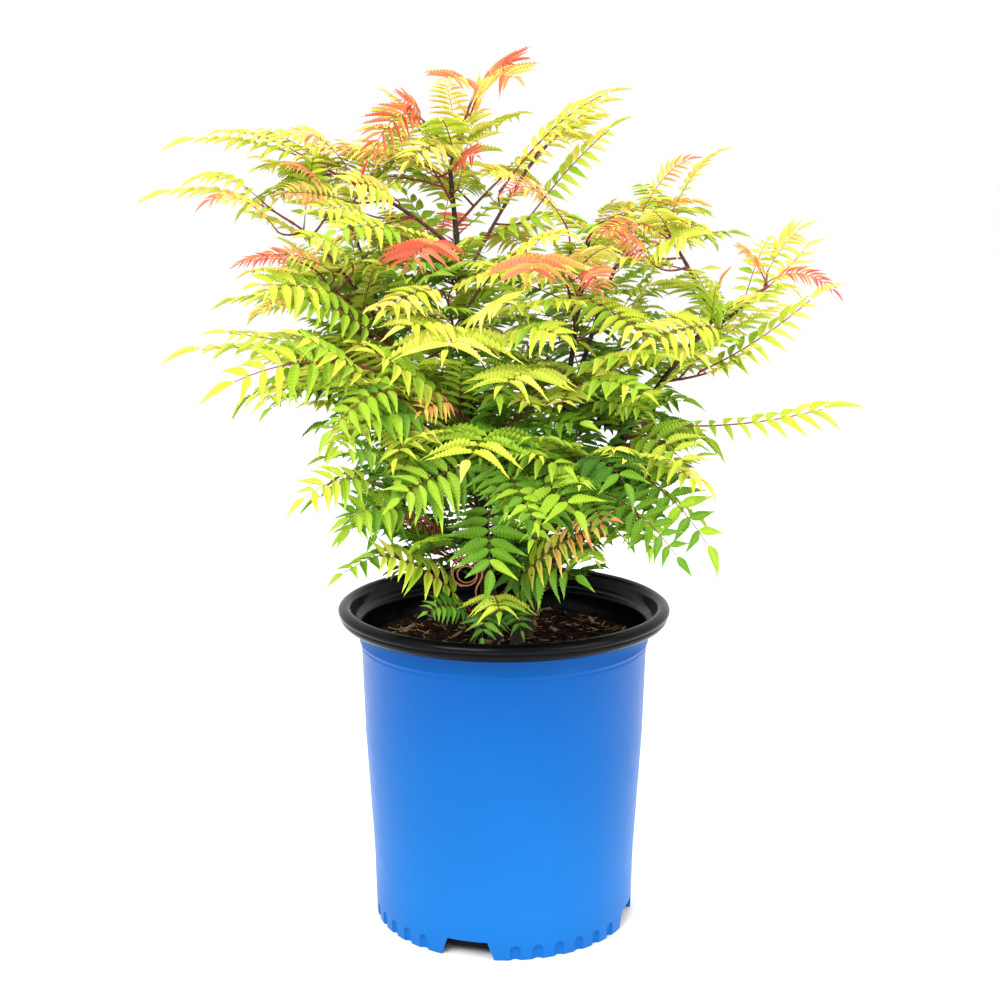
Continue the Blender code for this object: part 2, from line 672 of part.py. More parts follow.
def add_leaflet(bm, back, front, root, outward, along, face, length):
    """A lance-shaped leaflet whose skin grows out of one side of the midrib, thickest at its ridge."""
    top_back, low_back = back
    top_front, low_front = front
    half = along * length * LEAFLET_WIDTH / 2
    widest = root + outward * length * LEAFLET_WIDEST
    rear = bm.verts.new(widest - half)
    fore = bm.verts.new(widest + half)
    tip = bm.verts.new(root + outward * length - face * length * LEAFLET_DROOP)
    bm.faces.new((top_back, rear, tip))
    bm.faces.new((top_back, tip, top_front))
    bm.faces.new((top_front, tip, fore))
    bm.faces.new((low_back, tip, rear))
    bm.faces.new((low_back, low_front, tip))
    bm.faces.new((low_front, fore, tip))
    bm.faces.new((top_back, low_back, rear))
    bm.faces.new((top_front, fore, low_front))


def add_end_leaflet(bm, loop, leaf):
    """The leaflet at the midrib's tip."""
    side = leaf.frame(1)[1]
    ridge, left, right = loop
    root = leaf.bend.point(PAIR_SHARES[-1] + LEAFLET_ROOT)
    length = (leaf.bend.end - root).length
    widest = root.lerp(leaf.bend.end, LEAFLET_WIDEST)
    half = side * length * END_LEAFLET_WIDTH / 2
    port = bm.verts.new(widest - half)
    starboard = bm.verts.new(widest + half)
    tip = bm.verts.new(leaf.bend.end)
    bm.faces.new((ridge, port, tip))
    bm.faces.new((ridge, tip, starboard))
    bm.faces.new((ridge, left, port))
    bm.faces.new((ridge, starboard, right))
    bm.faces.new((left, tip, port))
    bm.faces.new((left, right, tip))
    bm.faces.new((right, starboard, tip))


def leaf_solid(leaf, foot=0.0):
    """Midrib and leaflets as one skin. A foot above 0 leaves the stretch inside the twig out."""
    shares = [foot]
    for share in PAIR_SHARES:
        shares += [share, share + LEAFLET_ROOT]
    rings = []
    for share in shares:
        heading, side, face = leaf.frame(share)
        centre = leaf.bend.point(share)
        if share == 0:
            centre = centre - heading * leaf.sink
        rings.append(ring(centre, side, face, MIDRIB_RADIUS * (1 - MIDRIB_TAPER * share)))
    bm = bmesh.new()
    loops = add_loops(bm, rings)
    bm.faces.new(loops[0])
    add_band(bm, loops[0], loops[1])
    for index, share in enumerate(PAIR_SHARES):
        before = loops[2 * index + 1]
        after = loops[2 * index + 2]
        add_band(bm, before, after, sides=(1,))
        if index + 1 < len(PAIR_SHARES):
            add_band(bm, after, loops[2 * index + 3])
        heading, side, face = leaf.frame(share)
        root = leaf.bend.point(share + LEAFLET_ROOT / 2)
        opening = math.radians(LEAFLET_OPENING - LEAFLET_OPENING_LOSS * share)
        reach = leaf.half_width(share) / math.sin(opening)
        forward = heading * math.cos(opening) - face * LEAFLET_TILT
        for hand, edge in ((-1, 1), (1, 2)):
            outward = forward + side * hand * math.sin(opening)
            outward.normalize()
            along = face.cross(outward) * hand
            back = (before[0], before[edge])
            front = (after[0], after[edge])
            add_leaflet(bm, back, front, root, outward, along, face, reach)
    add_end_leaflet(bm, loops[-1], leaf)
    bmesh.ops.recalc_face_normals(bm, faces=bm.faces)
    return bm


def solid_tree(bm):
    tree = BVHTree.FromBMesh(bm)
    bm.free()
    return tree


def fused(name, pieces, material, parts):
    """One Boolean union joins the pieces of a mass. Loose scraps and sealed hollows are dropped."""
    joining = new_collection(f"{name}_pieces")
    base = add_mesh(pieces[0], name, parts)
    for index, piece in enumerate(pieces[1:]):
        add_mesh(piece, f"{name}_{index + 1}", joining)
    join = base.modifiers.new("join", "BOOLEAN")
    join.operation = "UNION"
    join.operand_type = "COLLECTION"
    join.collection = joining
    join.solver = "MANIFOLD"
    mesh = applied_mesh(base)
    mesh.name = name
    base.modifiers.clear()
    base.data = mesh
    for piece in list(joining.objects):
        bpy.data.objects.remove(piece, do_unlink=True)
    bpy.data.collections.remove(joining)
    keep_largest_body(mesh)
    mesh.materials.clear()
    mesh.materials.append(material)
    return mesh


def keep_largest_body(mesh):
    bm = bmesh.new()
    bm.from_mesh(mesh)
    unseen = set(bm.faces)
    bodies = []
    while unseen:
        body = set()
        edge_of_search = [unseen.pop()]
        while edge_of_search:
            face = edge_of_search.pop()
            body.add(face)
            for edge in face.edges:
                for neighbour in edge.link_faces:
                    if neighbour in unseen:
                        unseen.remove(neighbour)
                        edge_of_search.append(neighbour)
        bodies.append(body)
    bodies.sort(key=len)
    scraps = [face for body in bodies[:-1] for face in body]
    bmesh.ops.delete(bm, geom=scraps, context="FACES")
    bm.to_mesh(mesh)
    bm.free()


def build_foliage(limbs, standing, parts):
    shoots = {}
    for name, (limb, along, reach, lift, count, leaf_length, tint) in MASSES.items():
        target = Vector(reach)
        start = leaving_point(limbs[limb], along, target + UP * 2 * lift, TWIG_RADIUS)
        shoots[name] = Shoot(start, target, lift, leaf_length)
    twigs = {name: solid_tree(shoot.solid()) for name, shoot in shoots.items()}
    leaves = grow_leaves(shoots, standing + list(twigs.values()))
    materials = {}
    for tint, colour in TINTS.items():
        materials[tint] = principled(f"leaf_{tint}", colour, LEAF_ROUGHNESS)
    placed = list(standing)
    for name, shoot in shoots.items():
        pieces = [shoot.solid()]
        obstacles = placed + list(twigs.values())
        for leaf in leaves[name]:
            clear_part = solid_tree(leaf_solid(leaf, foot=CLEAR_SHARE))
            if not any(clear_part.overlap(other) for other in obstacles):
                pieces.append(leaf_solid(leaf))
                whole = solid_tree(leaf_solid(leaf))
                placed.append(whole)
                obstacles.append(whole)
        fused(name, pieces, materials[MASSES[name][6]], parts)


def main():
    clear_scene()
    parts = new_collection(COLLECTION_NAME)
    cutters = new_collection("cutters")
    limbs = {}
    pot_mesh = build_pot(parts, cutters)
    standing = [tree_of(pot_mesh), build_soil(parts)]
    grow_stems(limbs, standing, parts)
    grow_boughs(limbs, standing, parts)
    build_foliage(limbs, standing, parts)


main()
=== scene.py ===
"""Potted false spirea: the finished look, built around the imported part.

Metres, +Z up, the pot's axis at the origin and its flat underside on the floor. -Y is the front.
"""
import json
import math
import random

import bmesh
import bpy
from bpy.props import FloatProperty, FloatVectorProperty, IntProperty, PointerProperty
from mathutils import Matrix, Vector, noise
from mathutils.bvhtree import BVHTree

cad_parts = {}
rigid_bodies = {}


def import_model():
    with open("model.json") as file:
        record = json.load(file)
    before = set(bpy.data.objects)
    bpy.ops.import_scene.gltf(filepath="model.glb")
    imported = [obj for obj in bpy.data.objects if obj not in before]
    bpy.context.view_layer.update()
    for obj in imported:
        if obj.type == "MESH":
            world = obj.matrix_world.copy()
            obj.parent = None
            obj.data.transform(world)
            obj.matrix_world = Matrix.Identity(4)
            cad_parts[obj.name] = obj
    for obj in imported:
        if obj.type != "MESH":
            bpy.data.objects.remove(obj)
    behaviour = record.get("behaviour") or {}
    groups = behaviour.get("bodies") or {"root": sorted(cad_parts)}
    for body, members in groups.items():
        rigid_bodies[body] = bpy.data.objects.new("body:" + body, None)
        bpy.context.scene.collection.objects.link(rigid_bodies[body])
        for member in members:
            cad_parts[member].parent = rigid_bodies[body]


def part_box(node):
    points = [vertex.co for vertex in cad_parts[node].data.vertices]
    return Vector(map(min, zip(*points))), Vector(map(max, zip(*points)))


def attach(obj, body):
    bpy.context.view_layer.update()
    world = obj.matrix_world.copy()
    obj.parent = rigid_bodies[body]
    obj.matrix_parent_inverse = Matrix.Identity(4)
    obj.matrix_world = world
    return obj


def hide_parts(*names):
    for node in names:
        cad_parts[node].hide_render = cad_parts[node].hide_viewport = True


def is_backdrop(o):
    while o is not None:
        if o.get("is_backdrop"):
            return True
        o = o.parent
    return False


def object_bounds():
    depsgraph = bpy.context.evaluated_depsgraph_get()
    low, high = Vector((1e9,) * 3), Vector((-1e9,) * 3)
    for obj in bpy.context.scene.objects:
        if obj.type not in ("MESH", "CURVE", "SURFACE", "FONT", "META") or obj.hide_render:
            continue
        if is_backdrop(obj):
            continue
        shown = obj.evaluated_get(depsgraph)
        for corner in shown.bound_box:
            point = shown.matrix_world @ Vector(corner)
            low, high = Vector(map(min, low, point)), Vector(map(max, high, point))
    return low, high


bl_info = {
    "name": "Potted False Spirea",
    "version": (1, 0, 0),
    "blender": (4, 5, 0),
    "location": "View3D > Sidebar > Spirea",
    "description": "Builds a potted false spirea around its packed part",
    "category": "Object",
}

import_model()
CAD_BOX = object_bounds()
UP = Vector((0, 0, 1))
SEED = 11
CLEARANCE = 0.0003


def linear(code):
    """The linear colour of an sRGB hex value."""
    channels = [int(code[place : place + 2], 16) / 255 for place in (1, 3, 5)]
    return [c / 12.92 if c <= 0.04045 else ((c + 0.055) / 1.055) ** 2.4 for c in channels] + [1.0]


# Pot. Its height and rim come from the frame, and its sections are drawn at the size below
POT_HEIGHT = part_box("pot")[1].z
POT_RIM_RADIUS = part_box("pot")[1].x
DRAWN_HEIGHT = 0.22
DRAWN_RIM_RADIUS = 0.1125
POT_SIDES = 128
SEAM_MERGE = 0.00002
SHARP_ANGLE = math.radians(38)
NOTCH_COUNT = 4
NOTCH_HEIGHT = 0.0125
NOTCH_FOOT_WIDTH = 0.0365
NOTCH_TOP_WIDTH = 0.0275
NOTCH_FIRST_ANGLE = math.radians(-106)
NOTCH_CUTTER_REACH = 0.0065
CUTTER_DROP = 0.004
POT_FOOT_RADIUS = 0.0888
FLUTES_PER_QUARTER = 6
FLUTE_FIRST_ANGLE = math.radians(20.75)
FLUTE_STEP_ANGLE = math.radians(9.7)
FLUTE_SHOULDER = 0.0068
FLUTE_RADIUS = 0.0037
# Deeper than the solid part's, so that the flutes catch a shadow
FLUTE_DEPTH = 0.0026
FLUTE_SEGMENTS = 20
FLUTE_RINGS = 12

# The blue wall's section: radius and height, from under the lip down and in, then back up inside
WALL_SECTION = (
    (0.09815, 0.2066), (0.09800, 0.2058), (0.09800, 0.1962), (0.09825, 0.1958), (0.09825, 0.1952),
    (0.09795, 0.1947), (0.09700, 0.1931), (0.09694, 0.1924), (0.09718, 0.1920), (0.09716, 0.1914),
    (0.09688, 0.1908), (0.09500, 0.1300), (0.09250, 0.0880), (0.08990, 0.0450), (0.08930, 0.0220),
    (0.08916, 0.0160), (0.08880, 0.0010), (0.08850, 0.0003), (0.08780, 0.0000), (0.08600, 0.0000),
    (0.08560, 0.0008), (0.08560, 0.0070), (0.08600, 0.0120), (0.08690, 0.0160), (0.08790, 0.0220),
    (0.08880, 0.0450), (0.09390, 0.1300), (0.09580, 0.1925), (0.09690, 0.1941), (0.09690, 0.2062),
)

# The black lining's section: up the hollow from the floor, over the lip, and down inside the wall
LINING_SECTION = (
    (0.00000, 0.0030), (0.05800, 0.0030), (0.06400, 0.0080), (0.08380, 0.0080), (0.08500, 0.0120),
    (0.08590, 0.0160), (0.08690, 0.0220), (0.08790, 0.0450), (0.09300, 0.1300), (0.09470, 0.1925),
    (0.09590, 0.1945), (0.09600, 0.2040), (0.09640, 0.2062), (0.09720, 0.2074), (0.09900, 0.2083),
    (0.10080, 0.2091), (0.10170, 0.2106), (0.10290, 0.2150), (0.10360, 0.2174), (0.10470, 0.2189),
    (0.10620, 0.2197), (0.10750, 0.2200), (0.10920, 0.2196), (0.11080, 0.2187), (0.11190, 0.2177),
    (0.11240, 0.2167), (0.11250, 0.2157), (0.11225, 0.2147), (0.11170, 0.2140), (0.11110, 0.2137),
    (0.11120, 0.2131), (0.11135, 0.2125), (0.11125, 0.2117), (0.11060, 0.2103), (0.10950, 0.2091),
    (0.10780, 0.2083), (0.10480, 0.2078), (0.09880, 0.2072), (0.09670, 0.2065), (0.09670, 0.1942),
    (0.09560, 0.1926), (0.09370, 0.1300), (0.08860, 0.0450), (0.08770, 0.0222), (0.08670, 0.0161),
    (0.08580, 0.0121), (0.08540, 0.0070), (0.08540, 0.0055), (0.06650, 0.0055), (0.06050, 0.0000),
    (0.00000, 0.0000),
)

# Potting mix
SOIL_HEIGHT = 0.192
SOIL_SIDES = 144
SOIL_RINGS = 46
SOIL_RIM = 0.0943
SOIL_RELIEF = 0.0030
SOIL_GRAINS = ((26, 0.5), (75, 0.32), (210, 0.18))
SOIL_SKIRT = (
    (0.0926, 0.1300),
    (0.0876, 0.0450),
    (0.0845, 0.0130),
    (0.0832, 0.0083),
    (0.0643, 0.0083),
    (0.0583, 0.0033),
)
CHIP_REACH = 0.0885
CHIP_GRID = 40
CHIP_CORNERS = 7
CHIP_RAGGEDNESS = (0.72, 1.1)
CHIP_BOW = 0.6
CHIP_TOP_INSET = (0.9, 0.85)
CHIP_THICKNESS = (0.6, 1.1)
SMALLEST_CHIP = 0.35

# What the finishes' patterns are worked out from: the size of their features in millimetres. The
# wall's orange peel, the bark's streaks and the fines' grain are coarser than real, so that they show
WALL_CLOUD_SIZE = 71.4
WALL_SCUFF_SIZE = 11.1
WALL_PEEL_SIZE = 1.33
LINING_SCUFF_SIZE = 18.2
FINES_GRAIN = 2.38
DARK_CHIP_GRAIN = 3.33
PALE_CHIP_GRAIN = 2.86
STRAW_GRAIN = 2
BARK_STREAK_WIDTH = 1.11
BARK_PORE_SPACING = 3.03
LIMB_RIDGE_SPACING = 2.38
TWIG_RIDGE_SPACING = 2

# How ridges and streaks are drawn out along a stem, where the wall pales with painted bounce light toward
# its foot, and the finish's spread
RIDGE_STRETCH = (1, 1, 0.22)
STREAK_STRETCH = (1, 1, 0.2)
WALL_BOUNCE_LIGHT_HEIGHTS = (0.19, 0.03)
WALL_POLISH = 0.06
WALL_DULLING = 0.08
TWIG_RELIEF = 0.0001

# Stems and boughs, as in the part's source
LENGTH_STEPS = 12
STEM_FOOT_HEIGHT = 0.004
FLARE_HEIGHT = 0.012
FLARE_RATIO = 1.5
LEAST_SINE = 0.25
LIMB_STEP = 0.0022
NODE_SPACING = 0.027
NODE_SWELL = 0.26
NODE_REACH = 0.0017
FLARE_CURVE = 1.5
BURIED_FLARE = 1.12

# Growth rule of the foliage, after the part's source, with a lesser droop
NEAR_UPRIGHT = 0.05
TWIG_RADIUS = 0.00135
SHORTEST_TWIG_SHARE = 0.12
FIRST_LEAF_PLACE = 0.20
LEAF_PLACE_SPAN = 0.78
GOLDEN_ANGLE = math.radians(137.5)
SPIRAL_UNEVENNESS = 0.4
OPENING_AT_FOOT = 66
OPENING_LOSS = 26
OPENING_UNEVENNESS = 7
LEAF_LOWEST = -0.12
LEAF_STEEPEST = 0.45
LEAF_LENGTH_RANGE = (0.84, 1.04)
LEAF_CHORD = 0.94
LEAF_DROOP = 0.25
DROOP_RANGE = (0.6, 1.2)
LEAF_ROLL = 0.45
TURN_TRIES = 15
TURN_STEP = math.radians(27)
TRY_SHRINK = 0.02
BLADE_START = 0.16
BLADE_FULLNESS = 0.7
CROWN_DEPTH = 0.215
TONE_SCATTER = 0.6
LEAF_TONE_SPREAD = 0.5
YOUTH_START = 1.5
YOUTH_SPAN = 6

# What the finer foliage adds to the rule
PETIOLE_SHARE = 0.18
LEAFLET_SPREAD = 0.30
YOUNG_SPREAD = 0.34
CROWN_MARGIN = 0.86
SKIRT_HEIGHT = 0.274
SKIRT_RADIUS = 0.080
YOUNG_DROOP = 0.45
HIGH_HOST_COST = 2.0
SHOWN_MARGIN = 9
OUTLINE_SHARE = 0.24
OUTLINE_STEPS = 7
OUTLINE_START = 0.12
TWIG_GIRTH = 0.00105
PETIOLE_GIRTH = 0.00062
TWIG_STEP = 0.006
RIB_STEPS = 10
SIDE_SHOOT_PLACES = (0.30, 0.58, 0.82)
SIDE_SHOOT_SHARE = 0.72
SIDE_SHOOT_LEAVES = 3
STEM_LEAF_LOWEST = 0.225
STEM_LEAF_SPACING = 0.017
STEM_LEAF_LENGTH = 0.082
STEM_LEAF_SEEDS = 60
SHOOT_SEED_STEP = 1000
STEM_SEED_STEP = 500
LEAF_SEED_STEP = 20
SIDE_SHOOT_SEED_STEP = 7
STEM_TONE_START = 0.2
STEM_TONE_RISE = 14
SIDE_SHOOT_SEEDS = 200
SIDE_SHOOT_REACH = 1.25
SIDE_SHOOT_LIFT = 0.06

# Where along a leaf it is checked, and how much of its width
CHECKED_SHARES = tuple(step / 6 for step in range(7))
CHECKED_WIDTH = 0.6
SHOWN_STEPS = 7

# Twigs and ribs. A leading leaf's twig starts where its way is short, runs ahead and doesn't fall
HOST_STEPS = 20
RUN_COST = 1.6
AHEAD_GAIN = 0.6
PETIOLE_BEND = 0.35
PETIOLE_TWIG_SHARE = 0.75
SIDE_TWIG_SHARE = 0.8
TWIG_FOOT_SWELL = 1.1
TWIG_TAPER = 0.35
TWIG_SIDES = 7
RIB_SIDES = 5
RIB_FULL_LENGTH = 0.09
RIB_STOUTEST = 1.15
RIB_END = 0.96
RIB_BASE_SWELL = 0.9
RIB_BASE_REACH = 0.03
RIB_TAPER = 0.52
GREEN_RIB_TONE = 1.6

# How far the crown reaches to its left and right, by height, leaving out the tips that stand clear
CROWN_PROFILE = (
    (0.200, 0.105, 0.140),
    (0.250, 0.116, 0.156),
    (0.310, 0.132, 0.156),
    (0.340, 0.170, 0.160),
    (0.370, 0.205, 0.166),
    (0.405, 0.212, 0.212),
    (0.470, 0.205, 0.212),
    (0.482, 0.208, 0.200),
    (0.494, 0.214, 0.120),
    (0.530, 0.195, 0.135),
    (0.555, 0.120, 0.088),
    (0.568, 0.088, 0.042),
    (0.585, 0.050, 0.030),
)

# A stem: foot across and deep; tip across, deep and high; lift of its middle; foot and tip radius
STEMS = {
    "stem_leader": ((-0.006, 0.002), (-0.035, -0.005, 0.509), 0.000, 0.0034, 0.0014),
    "stem_middle": ((0.016, 0.010), (0.056, 0.020, 0.462), -0.010, 0.0030, 0.0013),
    "stem_right": ((0.008, -0.016), (0.135, -0.020, 0.412), 0.020, 0.0030, 0.0013),
    "stem_back": ((-0.012, 0.024), (-0.035, 0.085, 0.445), 0.018, 0.0028, 0.0013),
    "stem_back_right": ((0.010, 0.032), (0.078, 0.082, 0.440), 0.018, 0.0028, 0.0013),
}

# A bough: the limb it leaves, how far along; tip across, deep and high; lift; foot and tip radius
BOUGHS = {
    "bough_left": ("stem_leader", 0.40, (-0.087, 0.000, 0.416), -0.010, 0.0021, 0.0013),
    "bough_high_left": ("stem_leader", 0.83, (-0.098, -0.024, 0.500), 0.004, 0.0013, 0.0010),
    "bough_high_right": ("stem_leader", 0.76, (0.022, 0.022, 0.518), 0.003, 0.0012, 0.0010),
    "bough_upper_left": ("bough_left", 1.00, (-0.123, -0.020, 0.465), 0.002, 0.0012, 0.0010),
    "bough_rising_left": ("bough_left", 0.80, (-0.104, 0.030, 0.474), 0.004, 0.0012, 0.0010),
    "bough_right_high": ("stem_right", 1.00, (0.104, -0.014, 0.470), 0.002, 0.0012, 0.0010),
    "bough_right_outer": ("stem_right", 0.90, (0.160, -0.034, 0.430), -0.002, 0.0012, 0.0010),
    "bough_back_left": ("stem_back", 0.70, (-0.095, 0.090, 0.400), 0.006, 0.0012, 0.0010),
}

# A mass: the limb it leaves, how far along; the point it reaches; lift; leaves, leaf length, tint
MASSES = {
    "foliage_crown_top": ("stem_leader", 1.00, (0.013, -0.020, 0.586), 0.014, 5, 0.084, "coral"),
    "foliage_crown_left": ("stem_leader", 0.93, (-0.099, -0.045, 0.544), 0.016, 4, 0.080, "coral"),
    "foliage_high_left": ("bough_high_left", 1.00, (-0.195, -0.040, 0.526), 0.009, 5, 0.090, "yellow"),
    "foliage_high_right": ("bough_high_right", 1.00, (0.092, 0.030, 0.560), 0.005, 5, 0.088, "yellow"),
    "foliage_high_back": ("stem_leader", 0.88, (0.060, 0.085, 0.545), 0.008, 4, 0.092, "yellow"),
    "foliage_upper_left": ("bough_upper_left", 1.00, (-0.212, -0.032, 0.494), 0.011, 5, 0.092, "yellow"),
    "foliage_rising_left": ("bough_rising_left", 1.00, (-0.162, 0.045, 0.515), 0.006, 4, 0.086, "orange"),
    "foliage_red_left": ("bough_left", 0.93, (-0.179, -0.064, 0.450), 0.014, 4, 0.086, "coral"),
    "foliage_mid_left": ("bough_left", 0.62, (-0.188, 0.045, 0.430), 0.008, 4, 0.096, "lime"),
    "foliage_low_left": ("bough_left", 0.45, (-0.198, -0.030, 0.394), 0.012, 4, 0.104, "lime"),
    "foliage_left_front": ("bough_left", 0.25, (-0.188, -0.085, 0.370), 0.006, 4, 0.108, "lime"),
    "foliage_lower_left": ("stem_leader", 0.32, (-0.148, -0.055, 0.294), 0.020, 4, 0.104, "green"),
    "foliage_lower_back_left": ("stem_leader", 0.27, (-0.152, 0.062, 0.330), 0.014, 4, 0.100, "green"),
    "foliage_skirt_left": ("stem_leader", 0.12, (-0.103, -0.084, 0.258), 0.018, 3, 0.084, "green"),
    "foliage_inner_left": ("stem_leader", 0.74, (-0.084, -0.055, 0.470), 0.012, 4, 0.088, "lime"),
    "foliage_front_upper": ("stem_leader", 0.62, (-0.045, -0.150, 0.404), 0.016, 5, 0.096, "lime"),
    "foliage_front_left": ("stem_leader", 0.48, (-0.100, -0.125, 0.345), 0.020, 4, 0.096, "lime"),
    "foliage_front_low": ("stem_leader", 0.36, (-0.014, -0.160, 0.326), 0.022, 5, 0.098, "green"),
    "foliage_middle_top": ("stem_middle", 1.00, (0.092, -0.010, 0.520), 0.004, 5, 0.088, "coral"),
    "foliage_middle_front": ("stem_middle", 0.80, (0.026, -0.115, 0.448), 0.018, 5, 0.092, "yellow"),
    "foliage_middle_right": ("stem_middle", 0.60, (0.120, -0.080, 0.395), 0.016, 4, 0.096, "lime"),
    "foliage_right_high": ("bough_right_high", 1.00, (0.136, -0.006, 0.518), 0.007, 4, 0.076, "orange"),
    "foliage_right_red": ("bough_right_outer", 1.00, (0.221, -0.036, 0.428), 0.010, 4, 0.076, "coral"),
    "foliage_right_yellow": ("stem_right", 0.82, (0.205, 0.040, 0.456), -0.004, 4, 0.090, "yellow"),
    "foliage_right_side": ("stem_right", 0.74, (0.206, -0.078, 0.431), -0.010, 4, 0.100, "yellow"),
    "foliage_right_arm": ("stem_right", 0.60, (0.208, -0.040, 0.358), -0.006, 3, 0.104, "lime"),
    "foliage_lower_right": ("stem_right", 0.42, (0.148, -0.092, 0.312), 0.014, 4, 0.098, "lime"),
    "foliage_front_right": ("stem_right", 0.30, (0.062, -0.150, 0.345), 0.018, 4, 0.094, "green"),
    "foliage_skirt_right": ("stem_middle", 0.30, (0.150, -0.040, 0.262), 0.026, 4, 0.104, "green"),
    "foliage_skirt_front": ("stem_right", 0.12, (0.074, -0.138, 0.272), 0.022, 3, 0.090, "green"),
    "foliage_back_top": ("stem_back", 1.00, (-0.040, 0.175, 0.498), 0.012, 5, 0.092, "coral"),
    "foliage_back_left": ("bough_back_left", 1.00, (-0.168, 0.132, 0.428), 0.012, 5, 0.092, "lime"),
    "foliage_back_right": ("stem_back_right", 1.00, (0.146, 0.146, 0.462), 0.012, 5, 0.092, "orange"),
    "foliage_back_middle": ("stem_back_right", 0.70, (0.050, 0.184, 0.410), 0.014, 4, 0.100, "lime"),
    "foliage_back_low_left": ("stem_back", 0.45, (-0.128, 0.142, 0.304), 0.022, 4, 0.104, "green"),
    "foliage_back_low_right": ("stem_back_right", 0.42, (0.150, 0.112, 0.312), 0.022, 4, 0.104, "green"),
    "foliage_back_low": ("stem_back", 0.25, (0.010, 0.172, 0.280), 0.024, 4, 0.100, "green"),
    "foliage_soil_sprig": ("stem_leader", 0.05, (-0.004, -0.078, 0.216), 0.012, 1, 0.056, "lime"),
}
